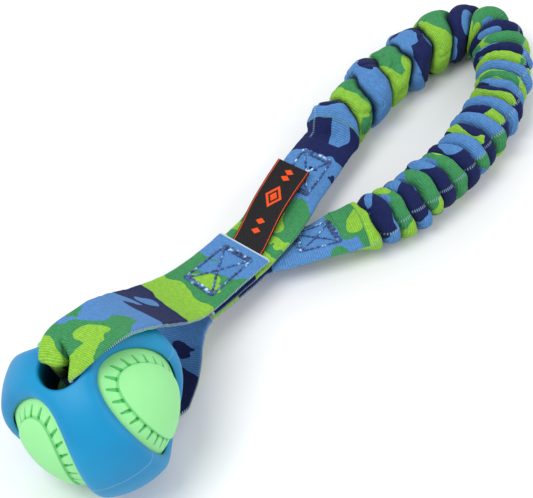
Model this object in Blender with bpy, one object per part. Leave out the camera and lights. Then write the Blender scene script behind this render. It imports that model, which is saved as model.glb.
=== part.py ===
"""Bungee tug toy: a two-shot rubber ball threaded on a tubular webbing strap
whose two ends are box-X stitched together, and whose far half is a gathered
sleeve over an elastic core, bent into a teardrop hand loop.

Metres, +Z up. +X runs from the ball to the far end of the hand loop. The toy
lies on the plane z = 0. Sizes below are in millimetres and are scaled once.
"""

import math

import bmesh
import bpy
import numpy as np
from mathutils import Vector

MM = 0.001

# ---- driving dimensions, mm ----
BALL_R = 35.0            # outer radius of the blue shell
CORE_R = 30.6            # radius of the green core
SHELL_IN_R = 30.9        # inner radius of the shell
BORE_R = 8.5             # strap bore through the ball
COLLAR_OUT_R = 11.0      # outside of the shell's collar round the bore
COLLAR_DEPTH = 18.0      # how far the collar goes in
LIP_R = 3.0              # rounding of the hole's rim
WINDOW_POLAR_DEG = 83.0  # middle of each window, from the upper mouth
WINDOW_WIDE_DEG = 35.1   # half width of a window, round the ball
WINDOW_TALL_DEG = 58.0   # half height of a window, along the ball
STRAP_W = 25.0           # webbing width
STRAP_T = 2.2            # two layers of a flattened tube
GAP = 0.3                # between touching pieces
FOLD_HALF, FOLD_T = 5.6, 5.0   # the webbing folded up to pass the bore
BORE_OFF = 2.9           # the folded webbing lies against the bore's +X side
SLEEVE_R = 11.5          # gathered sleeve
SLEEVE_BORE_R = 5.4
CORE_CORD_R = 5.0        # elastic core
LABEL_W, LABEL_T = 14.0, 0.7
THREAD = 0.45            # height of a row of stitching
STRETCH = 90.0           # how far the hand loop stretches

# the ball's centre is at the origin of the route points; this moves the
# middle of the whole toy's footprint to the origin
SHIFT = np.array([-122.65, 5.65, 0.0])

# ---- directions in the ball: the bore, and three tall oval windows spaced
# evenly round it ----
BORE_AXIS = np.array([-0.360, 0.170, 0.917])
BORE_AXIS = BORE_AXIS / np.linalg.norm(BORE_AXIS)
BALL_C = np.array([0.0, 0.0, BALL_R])
WINDOW_AIM = np.array([0.286, -0.867, 0.408])   # middle of the first window


def unit(v):
    v = np.asarray(v, float)
    return v / np.linalg.norm(v)


def ball_frame():
    """u, v across the bore; u points at the middle of the first window."""
    u = unit(WINDOW_AIM - (WINDOW_AIM @ BORE_AXIS) * BORE_AXIS)
    return u, np.cross(BORE_AXIS, u)


def window_ring(k, r, grow, part=1.0, n=40):
    """Points round window k at radius r, grow degrees outside its edge."""
    u, v = ball_frame()
    a = math.radians(120 * k)
    side = math.cos(a) * u + math.sin(a) * v
    across = np.cross(BORE_AXIS, side)
    p = math.radians(WINDOW_POLAR_DEG)
    mid = math.cos(p) * BORE_AXIS + math.sin(p) * side
    down = math.cos(p) * side - math.sin(p) * BORE_AXIS
    out = []
    for t in np.linspace(0, 2 * math.pi, n, endpoint=False):
        x = part * math.cos(t) * math.radians(WINDOW_TALL_DEG + grow)
        y = part * math.sin(t) * math.radians(WINDOW_WIDE_DEG + grow)
        q = math.hypot(x, y)
        d = math.cos(q) * mid + math.sin(q) / q * (x * down + y * across)
        out.append(BALL_C + r * d)
    return out


# ---- routes, mm from the ball's centre: x, y, z, tilt of the width (degrees,
# the -Y edge lower), fold (1 = folded up as in the bore) ----
A = -BORE_AXIS           # the way the strap goes down through the ball
BORE_SIDE = unit(np.array([1.0, 0.0, 0.0]) - BORE_AXIS[0] * BORE_AXIS)


def bore_point(along):
    """Middle line of the strap where it lies on the +X side of the bore."""
    return BALL_C + along * BORE_AXIS + BORE_OFF * BORE_SIDE


FRONT_LEG = [
    (104.5, 7.2, 17.4, -2, 0),
    (96.3, 7.6, 18.1, -3, 0),
    (87.6, 8.2, 19.0, -2, 0),
    (78.2, 8.6, 20.6, 2, 0),
    (69.3, 8.9, 23.1, 7, 0),
    (61.7, 9.0, 26.6, 11, 0),
    (55.0, 8.7, 31.4, 12, 0),
    (48.2, 7.9, 37.4, 13, 0),
    (41.3, 6.4, 44.3, 14, 0),
    (34.8, 4.8, 51.3, 13, 0),
    (28.8, 3.3, 57.8, 10, 0),
    (22.5, 2.1, 63.9, 4, 0),
    (15.7, 1.6, 69.3, -2, 0),
    (9.5, 1.8, 72.5, -5, 0.03),
    (4.0, 2.6, 73.9, -6, 0.15),
]
REAR_LEG = [
    (24.5, -5.0, 2.5, 0, 0.85),
    (29.0, -3.8, 1.8, 0, 0.4),
    (34.0, -2.0, 1.1, 0, 0),
    (43.5, 1.4, 1.1, 0, 0),
    (49.0, 3.8, 3.6, 0, 0),
    (55.2, 7.0, 8.8, 0, 0),
    (60.5, 8.6, 13.4, 2, 0),
    (64.8, 9.1, 15.9, 4, 0),
    (68.3, 9.0, 16.8, 6, 0),
]
FRONT_TAIL = [
    (104.5, 7.2, 13.9, -2, 0),
    (118.0, 7.0, 13.4, -6, 0),
    (137.0, 9.6, 12.9, 1, 0),
    (155.0, 11.8, 12.4, 8, 0),
    (172.0, 13.8, 11.7, 0, 0),
]
REAR_TAIL = [
    (104.5, 7.2, 11.4, -2, 0),
    (111.0, 4.6, 9.8, -6, 0),
    (118.5, -2.6, 9.4, -12, 0),
    (127.8, -10.8, 10.2, -12, 0),
    (137.5, -17.0, 11.5, 0, 0),
]
LOOP = [
    (137.5, -17.0), (148.0, -23.6), (162.0, -29.6), (180.0, -33.6),
    (200.0, -34.6), (217.0, -33.2), (232.0, -30.4), (246.0, -25.6),
    (257.5, -18.2), (264.0, -9.2), (263.6, 0.0), (256.0, 7.6),
    (244.0, 12.2), (230.0, 14.8), (215.0, 16.2), (200.0, 16.6),
    (185.0, 15.6), (172.0, 13.8),
]
LABEL = [
    (109.6, 7.8, 0.2), (117.0, 9.4, 0.9),
    (128.0, 11.8, 2.2), (140.0, 14.2, 2.5), (153.0, 16.4, 2.3),
]
BEND_X = 229.0           # where the strands hand over to the bend


# ---- smooth curves through the route points ----
def pchip(t, y, ts):
    """Monotone cubic through (t, y): it never swings past its points."""
    t, y = np.asarray(t, float), np.asarray(y, float)
    h = np.diff(t)
    d = np.diff(y, axis=0) / h[:, None]
    m = np.zeros_like(y)
    for k in range(1, len(t) - 1):
        w1, w2 = 2 * h[k] + h[k - 1], h[k] + 2 * h[k - 1]
        for c in range(y.shape[1]):
            a, b = d[k - 1, c], d[k, c]
            m[k, c] = 0 if a * b <= 0 else (w1 + w2) / (w1 / a + w2 / b)
    m[0], m[-1] = d[0], d[-1]
    k = np.clip(np.searchsorted(t, ts, side="right") - 1, 0, len(t) - 2)
    s = ((ts - t[k]) / h[k])[:, None]
    hh = h[k][:, None]
    return (
        (2 * s**3 - 3 * s**2 + 1) * y[k]
        + (s**3 - 2 * s**2 + s) * hh * m[k]
        + (-2 * s**3 + 3 * s**2) * y[k + 1]
        + (s**3 - s**2) * hh * m[k + 1]
    )


def catmull(points, per):
    """Smooth curve through points in the plane or in space."""
    p = np.asarray(points, float)
    p = np.vstack([2 * p[0] - p[1], p, 2 * p[-1] - p[-2]])
    out = []
    for k in range(1, len(p) - 2):
        t = np.linspace(0, 1, per, endpoint=False)[:, None]
        a, b, c, d = p[k - 1], p[k], p[k + 1], p[k + 2]
        out.append(
            0.5 * (2 * b + (c - a) * t + (2 * a - 5 * b + 4 * c - d) * t**2
                   + (3 * b - a - 3 * c + d) * t**3)
        )
    out.append(p[-2][None])
    return np.vstack(out)


def arc_length(P):
    return np.concatenate([[0], np.cumsum(np.linalg.norm(np.diff(P, axis=0), axis=1))])


class Route:
    """A webbing route: middle line, width direction, normal and fold at any
    distance s along it. Its normal is the outer, printed side."""

    def __init__(self, P, W, fold):
        self.P, self.fold = P, fold
        self.s = arc_length(P)
        T = np.gradient(P, self.s, axis=0)
        self.T = T / np.linalg.norm(T, axis=1)[:, None]
        W = W - (W * self.T).sum(1)[:, None] * self.T
        self.W = W / np.linalg.norm(W, axis=1)[:, None]
        self.N = np.cross(self.T, self.W)
        self.length = self.s[-1]

    def at(self, s, v=0.0, h=0.0):
        get = lambda a: np.array([np.interp(s, self.s, a[:, c]) for c in range(3)])
        P, W, N = get(self.P), unit(get(self.W)), unit(get(self.N))
        return P + W * v + N * h

    def size(self, s):
        """Half width and thickness of the webbing at s."""
        f = float(np.interp(s, self.s, self.fold))
        return (STRAP_W / 2 + (FOLD_HALF - STRAP_W / 2) * f,
                STRAP_T + (FOLD_T - STRAP_T) * f)

    def s_at_x(self, x):
        return float(self.s[np.abs(self.P[:, 0] - x).argmin()])


def width_at(T, tilt):
    """Level across the run and then tilted: +W is the -Y edge."""
    side = np.cross(T, [0, 0, 1.0])
    side = unit(side if side[1] < 0 else -side)
    up = np.cross(side, T)
    up = up if up[2] > 0 else -up
    a = math.radians(tilt)
    return math.cos(a) * side - math.sin(a) * up


def route_from(stations, n=120):
    st = np.asarray(stations, float)
    t = arc_length(st[:, :3])
    ts = np.linspace(0, t[-1], n)
    Q = pchip(t, st, ts)
    P = Q[:, :3]
    T = np.gradient(P, axis=0)
    W = np.array([width_at(unit(T[i]), Q[i, 3]) for i in range(n)])
    return P, W, Q[:, 4]


def strap_loop():
    """Cut end, front leg, over the ball, down the bore, rear leg, up to the
    underside of the join: one unbroken run."""
    P1, W1, c1 = route_from(FRONT_LEG, 110)
    P3, W3, c3 = route_from(REAR_LEG, 90)
    top = bore_point(28.0)
    low = bore_point(-27.0)
    # two smooth corners join the legs to the bore
    def corner(p0, t0, p1, t1, n, k=1.0):
        d = np.linalg.norm(p1 - p0) * k
        s = np.linspace(0, 1, n)[:, None]
        return (
            (2 * s**3 - 3 * s**2 + 1) * p0 + (s**3 - 2 * s**2 + s) * d * t0
            + (-2 * s**3 + 3 * s**2) * p1 + (s**3 - s**2) * d * t1
        )
    into = corner(P1[-1], unit(P1[-1] - P1[-2]), top, A, 24, 1.55)
    run = np.linspace(top, low, 40)
    out = corner(low, A, P3[0], unit(P3[1] - P3[0]), 24, 1.1)
    P = np.vstack([P1, into[1:], run[1:], out[1:], P3[1:]])
    Wb = np.cross(BORE_AXIS, BORE_SIDE)
    Wb = Wb if Wb[1] < 0 else -Wb

    def fade(Wa, Wz, n):
        s = np.linspace(0, 1, n)[1:, None]
        s = s * s * (3 - 2 * s)
        return Wa * (1 - s) + Wz * s
    W = np.vstack([W1, fade(W1[-1], Wb, 24), np.repeat(Wb[None], 39, 0),
                   fade(Wb, W3[0], 24), W3[1:]])
    f = np.linspace(0, 1, 24)[1:]
    g = f * f * (3 - 2 * f)
    curl = np.concatenate([c1, c1[-1] + (1 - c1[-1]) * g, np.ones(39),
                           1 + (c3[0] - 1) * g, c3[1:]])
    return Route(P, W, curl), len(P1) + 23, len(P1) + 23 + 39, len(P1) + 23 + 39 + 23


def tail_route(stations):
    P, W, c = route_from(stations, 80)
    return Route(P, W, c)


def loop_points():
    xy = catmull(LOOP, 12)
    return np.column_stack([xy, np.full(len(xy), SLEEVE_R)])


# ---- mesh helpers ----
def material(name, rgb, rough=0.8, sheen=0.0):
    m = bpy.data.materials.new(name)
    m.use_nodes = True
    b = m.node_tree.nodes["Principled BSDF"]
    b.inputs["Base Color"].default_value = (*rgb, 1)
    b.inputs["Roughness"].default_value = rough
    b.inputs["Metallic"].default_value = 0.0
    b.inputs["Sheen Weight"].default_value = sheen
    m.diffuse_color = (*rgb, 1)
    return m


def add_object(name, verts, faces, mat, parent, smooth=True):
    """verts in mm from the ball's centre; the object's origin is its parent's."""
    base = np.array(parent.location) / MM if parent else SHIFT
    co = (np.asarray(verts, float) + SHIFT - (base if parent else 0)) * MM
    me = bpy.data.meshes.new(name)
    me.from_pydata([tuple(map(float, v)) for v in co], [], [list(map(int, f)) for f in faces])
    me.update()
    bm = bmesh.new()
    bm.from_mesh(me)
    bmesh.ops.recalc_face_normals(bm, faces=bm.faces)
    bm.to_mesh(me)
    bm.free()
    me.materials.append(mat)
    ob = bpy.data.objects.new(name, me)
    bpy.context.scene.collection.objects.link(ob)
    if parent:
        ob.parent = parent
    if smooth:
        me.shade_smooth()
        me.set_sharp_from_angle(angle=math.radians(40))
    return ob


def loft(rings, closed_ends=True):
    """Faces joining rings of equal length, with fans over both ends."""
    n = len(rings[0])
    verts = [p for r in rings for p in r]
    faces = []
    for i in range(len(rings) - 1):
        for j in range(n):
            a, b = i * n + j, i * n + (j + 1) % n
            faces.append([a, b, b + n, a + n])
    if closed_ends:
        faces.append(list(range(n))[::-1])
        faces.append([(len(rings) - 1) * n + j for j in range(n)])
    return verts, faces


def strap_section(route, s, half, thick, across=6):
    """Ring round a flattened tube of webbing: rounded edges, flat faces."""
    vs = np.linspace(-1, 1, across + 1)
    r = thick / 2
    top = [route.at(s, v * (half - r * 0.55), r) for v in vs]
    low = [route.at(s, v * (half - r * 0.55), -r) for v in vs[::-1]]
    return top + [route.at(s, half)] + low + [route.at(s, -half)]


def strip(name, route, s0, s1, rings, mat, parent, size=None, across=6, stops=None):
    """Solid webbing along a route, as wide and thick as the route says."""
    ss = np.linspace(s0, s1, rings) if stops is None else stops
    rr = []
    for s in ss:
        half, thick = size if size else route.size(s)
        rr.append(strap_section(route, s, half, thick, across))
    v, f = loft(rr, closed_ends=False)
    f = f + end_faces(0, across) + end_faces(len(rr) - 1, across, True)
    return add_object(name, v, f, mat, parent)


def end_faces(ring, across, flip=False):
    n = 2 * (across + 1) + 2
    b = ring * n
    out = []
    # top 0..across, right across+1, low across+2..2across+2, left n-1
    for j in range(across):
        out.append([b + j, b + j + 1, b + 2 * across + 1 - j, b + 2 * across + 2 - j])
    out.append([b + across, b + across + 1, b + across + 2])
    out.append([b + 0, b + 2 * across + 2, b + n - 1])
    return [q[::-1] for q in out] if flip else out


def box_x(name, route, s_mid, v_mid, length, width, bar, side, lift, mat, parent):
    """A box with a cross in it, sewn in one row, as one thin solid lying on
    the webbing. side is +1 on the outer face and -1 on the under face."""
    hx, hy, b = length / 2, width / 2, bar
    O = [(-hx, -hy), (hx, -hy), (hx, hy), (-hx, hy)]
    diag = math.hypot(hx, hy)
    cx, cy = b * diag / hy / 2, b * diag / hx / 2   # apex offsets of the holes
    verts = list(O)
    A_, B_, C_ = [], [], []
    def add(p):
        verts.append(p)
        return len(verts) - 1
    inx, iny = hx - b, hy - b
    # hole beside side 0 (v = -hy), 1 (s = +hx), 2, 3
    kx, ky = hx - b - cx * 0.9, hy - b - cy * 0.9
    A_.append(add((-kx, -iny))); B_.append(add((kx, -iny))); C_.append(add((0, -cy)))
    A_.append(add((inx, -ky))); B_.append(add((inx, ky))); C_.append(add((cx, 0)))
    A_.append(add((kx, iny))); B_.append(add((-kx, iny))); C_.append(add((0, cy)))
    A_.append(add((-inx, ky))); B_.append(add((-inx, -ky))); C_.append(add((-cx, 0)))
    faces = []
    for i in range(4):
        j = (i + 1) % 4
        faces.append([i, j, B_[i], A_[i]])
        h = (i - 1) % 4
        faces.append([i, A_[i], C_[i], C_[h], B_[h]])
    faces.append([C_[0], C_[1], C_[2], C_[3]])
    bm = bmesh.new()
    vs = [bm.verts.new((x, y, 0)) for x, y in verts]
    for f in faces:
        bm.faces.new([vs[k] for k in f])
    bmesh.ops.subdivide_edges(
        bm, edges=[e for e in bm.edges if e.calc_length() > 6.0], cuts=2)
    bmesh.ops.triangulate(bm, faces=bm.faces[:])
    got = bmesh.ops.extrude_face_region(bm, geom=bm.faces[:])
    for g in got["geom"]:
        if isinstance(g, bmesh.types.BMVert):
            g.co.z = 1.0
    bmesh.ops.triangulate(bm, faces=bm.faces[:])
    bm.verts.index_update()
    co = []
    for w in bm.verts:
        h = lift + (GAP + w.co.z * THREAD) * side
        co.append(route.at(s_mid + w.co.x, v_mid + w.co.y, h))
    fs = [[w.index for w in f.verts] for f in bm.faces]
    bm.free()
    return add_object(name, co, fs, mat, parent, smooth=False)


def oval(route_p, side, up, a, b, n, power=2.0):
    out = []
    for j in range(n):
        t = 2 * math.pi * j / n
        c, s = math.cos(t), math.sin(t)
        out.append(
            route_p
            + side * a * math.copysign(abs(c) ** (2 / power), c)
            + up * b * math.copysign(abs(s) ** (2 / power), s)
        )
    return out


def lathe(name, profile, steps, mat, parent, axis_u, axis_v, axis, centre):
    """Profile of (radius, height) pairs turned once round the axis."""
    verts, faces = [], []
    n = len(profile)
    for k in range(steps):
        a = 2 * math.pi * k / steps
        d = math.cos(a) * axis_u + math.sin(a) * axis_v
        verts += [centre + r * d + z * axis for r, z in profile]
    for k in range(steps):
        for j in range(n):
            a, b = k * n + j, k * n + (j + 1) % n
            c, d = ((k + 1) % steps) * n + (j + 1) % n, ((k + 1) % steps) * n + j
            faces.append([a, b, c, d])
    return add_object(name, verts, faces, mat, parent)


def arc(r, a0, a1, n):
    """(radius, height) points on a circle of radius r, angles from the axis."""
    return [(r * math.sin(a), r * math.cos(a)) for a in np.linspace(a0, a1, n)]


def build():
    for ob in list(bpy.data.objects):
        bpy.data.objects.remove(ob, do_unlink=True)

    blue = material("shell_blue_rubber", (0.012, 0.305, 0.62), 0.45)
    green = material("core_green_rubber", (0.26, 0.86, 0.28), 0.5)
    web = material("printed_webbing", (0.06, 0.26, 0.12), 0.85, 0.2)
    web2 = material("gathered_webbing", (0.10, 0.33, 0.12), 0.85, 0.2)
    elastic = material("elastic_core", (0.75, 0.75, 0.72), 0.9)
    satin = material("label_satin", (0.02, 0.018, 0.02), 0.6, 0.3)
    thread = material("blue_thread", (0.02, 0.10, 0.32), 0.7)

    # ---- route and joint axes ----
    loop, i_top, i_low, i_out = strap_loop()
    front_tail, rear_tail = tail_route(FRONT_TAIL), tail_route(REAR_TAIL)
    tube = loop_points()

    def axis_at(name, point):
        e = bpy.data.objects.new(name, None)
        e.empty_display_size = 0.02
        e.location = Vector((np.asarray(point) + SHIFT) * MM)
        bpy.context.scene.collection.objects.link(e)
        return e

    ball_axis = axis_at("ball_spin_axis", BALL_C)
    fold_axis = axis_at("handle_fold_axis", (107.4, 7.1, 15.6))
    grip_axis = axis_at("handle_stretch_axis", (BEND_X, -9.0, SLEEVE_R))
    label_axis = axis_at("label_flip_axis", (108.4, 7.4, 15.9))

    # ---- ball: shell and core, turned round the bore ----
    u, v = ball_frame()
    edge = math.asin((BORE_R + LIP_R) / BALL_R)
    steps = 36
    outer = arc(BALL_R, edge, math.pi - edge, 19)
    lip_c = (BORE_R + LIP_R, math.sqrt(BALL_R**2 - (BORE_R + LIP_R) ** 2) - LIP_R)
    lip_top = [(lip_c[0] - LIP_R * math.cos(q), lip_c[1] + LIP_R * math.sin(q))
               for q in (0.0, math.radians(28), math.radians(56))]
    cin = math.asin(COLLAR_OUT_R / SHELL_IN_R)
    deep = math.sqrt(BALL_R**2 - BORE_R**2) - COLLAR_DEPTH
    inner = arc(SHELL_IN_R, math.pi - cin, cin, 15)
    profile = (
        outer
        + [(r, -z) for r, z in lip_top[::-1]]
        + [(BORE_R, -deep), (COLLAR_OUT_R, -deep)]
        + inner
        + [(COLLAR_OUT_R, deep), (BORE_R, deep)]
        + lip_top
    )
    shell = lathe("ball_shell", profile, steps, blue, ball_axis, u, v, BORE_AXIS, BALL_C)
    for k in range(3):
        # wider outside than in, so that each window's lip is chamfered
        vv, ff = loft([window_ring(k, 27.5, 0.0, 0.3), window_ring(k, 27.5, 0.0, 0.7),
                       window_ring(k, 27.5, 0.0), window_ring(k, 31.8, 0.0),
                       window_ring(k, 35.6, 4.5), window_ring(k, 42.0, 6.0),
                       window_ring(k, 42.0, 6.0, 0.7), window_ring(k, 42.0, 6.0, 0.3)])
        cut = add_object(f"window_cutter_{k + 1}", vv, ff, blue, ball_axis, smooth=False)
        cut.hide_render = True
        cut.display_type = "WIRE"
        mod = shell.modifiers.new(f"window_{k + 1}", "BOOLEAN")
        mod.operation = "DIFFERENCE"
        mod.solver = "EXACT"
        mod.object = cut
    cro = COLLAR_OUT_R + GAP
    ca = math.asin(cro / CORE_R)
    profile = (
        arc(CORE_R, ca, math.pi - ca, 15)
        + [(cro, -(deep - GAP)), (BORE_R + GAP, -(deep - GAP))]
        + [(BORE_R + GAP, deep - GAP), (cro, deep - GAP)]
    )
    lathe("ball_core", profile, steps, green, ball_axis, u, v, BORE_AXIS, BALL_C)

    # ---- the strap round the ball ----
    s_top, s_low = loop.s[i_top - 2], loop.s[i_low + 2]
    strip("strap_front_leg", loop, 0, s_top - GAP / 2, 26, web, None)
    strip("strap_bore_run", loop, s_top + GAP / 2, s_low - GAP / 2, 8, web, None)
    below = np.where(loop.s > loop.s[i_low])[0]
    xs = loop.P[below, 0]
    s_flat0 = loop.s[below[np.abs(xs - 34.3).argmin()]]
    s_flat1 = loop.s[below[np.abs(xs - 43.2).argmin()]]
    stops = np.concatenate([
        np.linspace(s_low + GAP / 2, s_flat0, 10),
        np.linspace(s_flat1, loop.length, 12),
    ])
    strip("strap_rear_leg", loop, 0, 0, 0, web, None, stops=stops)

    # ---- the join: layers under the front leg's end ----
    lay2 = -(STRAP_T / 2 + GAP + LABEL_T + GAP + STRAP_T / 2)
    lay1 = lay2 - STRAP_T - GAP

    def under(lift, s0, s1, route, joiner):
        """Stations under the front leg, then along a tail's own route."""
        P = [loop.at(s, 0, lift) for s in np.linspace(s1, s0, 30)]
        W = [unit(loop.at(s, 1, lift) - loop.at(s, 0, lift)) for s in np.linspace(s1, s0, 30)]
        i0 = joiner
        P = np.vstack([P, route.P[i0:]])
        W = np.vstack([W, route.W[i0:]])
        return Route(P, -W, np.zeros(len(P)))

    s_end = loop.s_at_x(71.5)
    ft = under(lay2, 1.0, s_end, front_tail, 4)
    rt = under(lay1, 1.0, s_end, rear_tail, 4)
    half_pocket, t_pocket = 7.2, 1.9

    def tail(name, route, pocket_len, rings, parent):
        """Flat webbing whose far end is a thicker pocket that holds the end
        of the elastic core; the pocket opens into the sleeve."""
        L = route.length - GAP / 2
        sp = L - pocket_len
        ss = list(np.linspace(0, sp, rings)) + list(np.linspace(sp, L, 6)[1:])
        rr = []
        for s in ss:
            f = min(1, max(0, (s - (sp - 8)) / 12))
            f = f * f * (3 - 2 * f)
            rr.append(strap_section(route, s, STRAP_W / 2, STRAP_T + f * 2.4, 6))
        n = len(rr[0])
        verts = [p for r in rr for p in r]
        faces = []
        for i in range(len(rr) - 1):
            for j in range(n):
                a, b = i * n + j, i * n + (j + 1) % n
                faces.append([a, b, b + n, a + n])
        faces += end_faces(0, 6)
        inner = [strap_section(route, s, half_pocket, t_pocket, 6)
                 for s in np.linspace(sp + 2, L, 5)]
        base = len(verts)
        verts += [p for r in inner for p in r]
        m = len(inner)
        for i in range(m - 1):
            for j in range(n):
                a, b = base + i * n + j, base + i * n + (j + 1) % n
                faces.append([a, a + n, b + n, b])
        faces += [[base + q for q in f] for f in end_faces(0, 6)]
        o, q = (len(rr) - 1) * n, base + (m - 1) * n
        for j in range(n):
            faces.append([o + j, o + (j + 1) % n, q + (j + 1) % n, q + j])
        return add_object(name, verts, faces, web, parent)

    tail("strap_front_tail", ft, 33.0, 11, fold_axis)
    tail("strap_rear_tail", rt, 22.0, 12, fold_axis)

    # ---- gathered sleeve and elastic core, each as two strands and a bend ----
    S = arc_length(tube)
    T = np.gradient(tube, S, axis=0)
    T /= np.linalg.norm(T, axis=1)[:, None]
    UP = np.array([0, 0, 1.0])
    i_rear = int(np.where((tube[:, 0] > BEND_X) & (S < S[-1] / 2))[0][0])
    i_front = int(np.where((tube[:, 0] > BEND_X) & (S > S[-1] / 2))[0][-1])
    total = S[-1]

    def at(s):
        p = np.array([np.interp(s, S, tube[:, c]) for c in range(3)])
        t = unit([np.interp(s, S, T[:, c]) for c in range(3)])
        return p, t, np.cross(UP, t)

    def soft(x):
        x = min(1.0, max(0.0, x))
        return x * x * (3 - 2 * x)

    def sleeve(name, s0, s1, rings, parent):
        out, inn = [], []
        for s in np.linspace(s0, s1, rings):
            p, t, side = at(s)
            e = soft(min(s, total - s) / 16.0)
            a = STRAP_W / 2 - 0.2 + (SLEEVE_R - STRAP_W / 2 + 0.2) * e
            b = 2.6 + (SLEEVE_R - 2.6) * e
            out.append(oval(p, side, UP, a, b, 16, 2.0 + 1.2 * (1 - e)))
            ia = half_pocket + (SLEEVE_BORE_R - half_pocket) * e
            ib = t_pocket / 2 + (SLEEVE_BORE_R - t_pocket / 2) * e
            inn.append(oval(p, side, UP, ia, ib, 16, 2.0 + 1.2 * (1 - e)))
        n = 16
        verts = [q for r in out for q in r] + [q for r in inn for q in r]
        faces = []
        m = len(out)
        for i in range(m - 1):
            for j in range(n):
                a, b = i * n + j, i * n + (j + 1) % n
                faces.append([a, b, b + n, a + n])
                a, b = a + m * n, b + m * n
                faces.append([a, a + n, b + n, b])
        for j in range(n):
            k = (j + 1) % n
            faces.append([j, m * n + j, m * n + k, k])
            o = (m - 1) * n
            faces.append([o + j, o + k, m * n + o + k, m * n + o + j])
        return add_object(name, verts, faces, web2, parent)

    g = GAP / 2
    sleeve("sleeve_rear_strand", 0.6, S[i_rear] - g, 11, fold_axis)
    sleeve("sleeve_bend", S[i_rear] + g, S[i_front] - g, 15, grip_axis)
    sleeve("sleeve_front_strand", S[i_front] + g, total - 0.6, 9, fold_axis)

    def core(name, s0, s1, rings, parent, tongue=None):
        """Round elastic core; its sewn end is a flat tongue in the tail."""
        rr = []
        if tongue is not None:
            route, length = tongue
            for s in np.linspace(route.length - length, route.length - 2.0, 4):
                p, t = route.at(s), unit(route.at(s + 0.5) - route.at(s - 0.5))
                w = unit(route.at(s, 1) - p)
                w = w if (w @ at(1.0 if s0 < total / 2 else total - 1)[2]) > 0 else -w
                rr.append(oval(p, w, unit(np.cross(t, w) * np.sign(np.cross(t, w)[2])),
                               half_pocket - 0.4, t_pocket / 2 - 0.3, 12, 3.2))
        body = []
        for s in np.linspace(s0, s1, rings):
            p, t, side = at(s)
            e = soft(min(s, total - s) / 16.0)
            a = half_pocket - 0.4 + (CORE_CORD_R - half_pocket + 0.4) * e
            b = t_pocket / 2 - 0.3 + (CORE_CORD_R - t_pocket / 2 + 0.3) * e
            body.append(oval(p, side, UP, a, b, 12, 2.0 + 1.2 * (1 - e)))
        if tongue is not None and s0 < total / 2:
            rr = rr + body
        elif tongue is not None:
            rr = body + rr[::-1]
        else:
            rr = body
        v_, f_ = loft(rr)
        return add_object(name, v_, f_, elastic, parent)

    core("elastic_rear_strand", 0.4, S[i_rear] - g, 11, fold_axis, (rt, 18.0))
    core("elastic_bend", S[i_rear] + g, S[i_front] - g, 15, grip_axis)
    core("elastic_front_strand", S[i_front] + g, total - 0.4, 9, fold_axis, (ft, 29.0))

    # ---- woven label: its sewn end under the front leg, and its free flap ----
    low = -(STRAP_T / 2 + GAP + LABEL_T / 2)
    P, W = [], []
    for x in np.linspace(90.0, 103.0, 7):
        s = loop.s_at_x(x)
        P.append(loop.at(s, 0, low))
        W.append(unit(loop.at(s, 1) - loop.at(s, 0)))
    tab = Route(np.array(P), np.array(W), np.zeros(len(P)))
    strip("label_sewn_end", tab, 0, tab.length, 5, satin, None,
          size=(LABEL_W / 2, LABEL_T), across=2)
    st = np.array(LABEL)
    xs = np.linspace(st[0, 0], st[-1, 0], 16)
    yy = pchip(st[:, 0], st[:, 1:3], xs)
    P, W = [], []
    for x, (y, lift) in zip(xs, yy):
        i = np.abs(ft.P[:, 0] - x).argmin()
        s = ft.s[i]
        v = (y - ft.P[i, 1]) / ft.W[i, 1]
        P.append(ft.at(s, v, STRAP_T / 2 + 0.55 + LABEL_T / 2 + lift))
        W.append(unit(ft.W[i] - np.array([0.10, 0, 0])))
    label_route = Route(np.array(P), np.array(W), np.zeros(len(P)))
    strip("label_flap", label_route, 0, label_route.length, 14, satin, label_axis,
          size=(LABEL_W / 2, LABEL_T), across=2)

    # ---- stitching: the needle thread on top, the bobbin thread below ----
    s_box = 0.5 * (loop.s_at_x(99.9) + loop.s_at_x(74.2))
    h = STRAP_T / 2
    box_x("join_stitch_needle_thread", loop, s_box, 0.5, 26.5, 13.6, 1.1, 1, h, thread, None)
    box_x("join_stitch_bobbin_thread", loop, s_box, 0.5, 26.5, 13.6, 1.1, -1, lay1 - h, thread, None)
    hp = (STRAP_T + 2.4) / 2
    for tag, route, back, run in (("front", ft, 19.0, 22.0), ("rear", rt, 11.0, 17.0)):
        for kind, side in (("needle", 1), ("bobbin", -1)):
            box_x(f"{tag}_core_stitch_{kind}_thread", route, route.length - back, 0.0,
                  run, 12.5, 1.0, side, hp * side, thread, fold_axis)


build()
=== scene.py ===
import math

import bpy
import numpy as np
from mathutils import Matrix, Vector


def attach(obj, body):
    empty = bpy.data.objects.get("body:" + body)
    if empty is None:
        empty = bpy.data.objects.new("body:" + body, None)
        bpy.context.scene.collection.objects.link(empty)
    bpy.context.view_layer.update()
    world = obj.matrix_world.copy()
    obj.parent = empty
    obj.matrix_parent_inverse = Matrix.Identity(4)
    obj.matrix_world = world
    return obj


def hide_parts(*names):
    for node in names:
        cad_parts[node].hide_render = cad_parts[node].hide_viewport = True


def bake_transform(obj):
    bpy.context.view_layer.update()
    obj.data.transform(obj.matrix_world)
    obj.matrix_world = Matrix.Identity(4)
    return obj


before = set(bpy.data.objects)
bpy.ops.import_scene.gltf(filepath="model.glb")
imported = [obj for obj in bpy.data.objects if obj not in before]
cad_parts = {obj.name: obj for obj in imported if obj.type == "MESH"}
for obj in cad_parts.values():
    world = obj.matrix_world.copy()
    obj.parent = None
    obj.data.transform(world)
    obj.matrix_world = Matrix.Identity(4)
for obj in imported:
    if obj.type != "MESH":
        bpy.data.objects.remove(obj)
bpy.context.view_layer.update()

MM = 0.001
SHIFT = np.array([-122.65, 5.65, 0.0])    # route points are mm from the ball's centre

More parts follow.
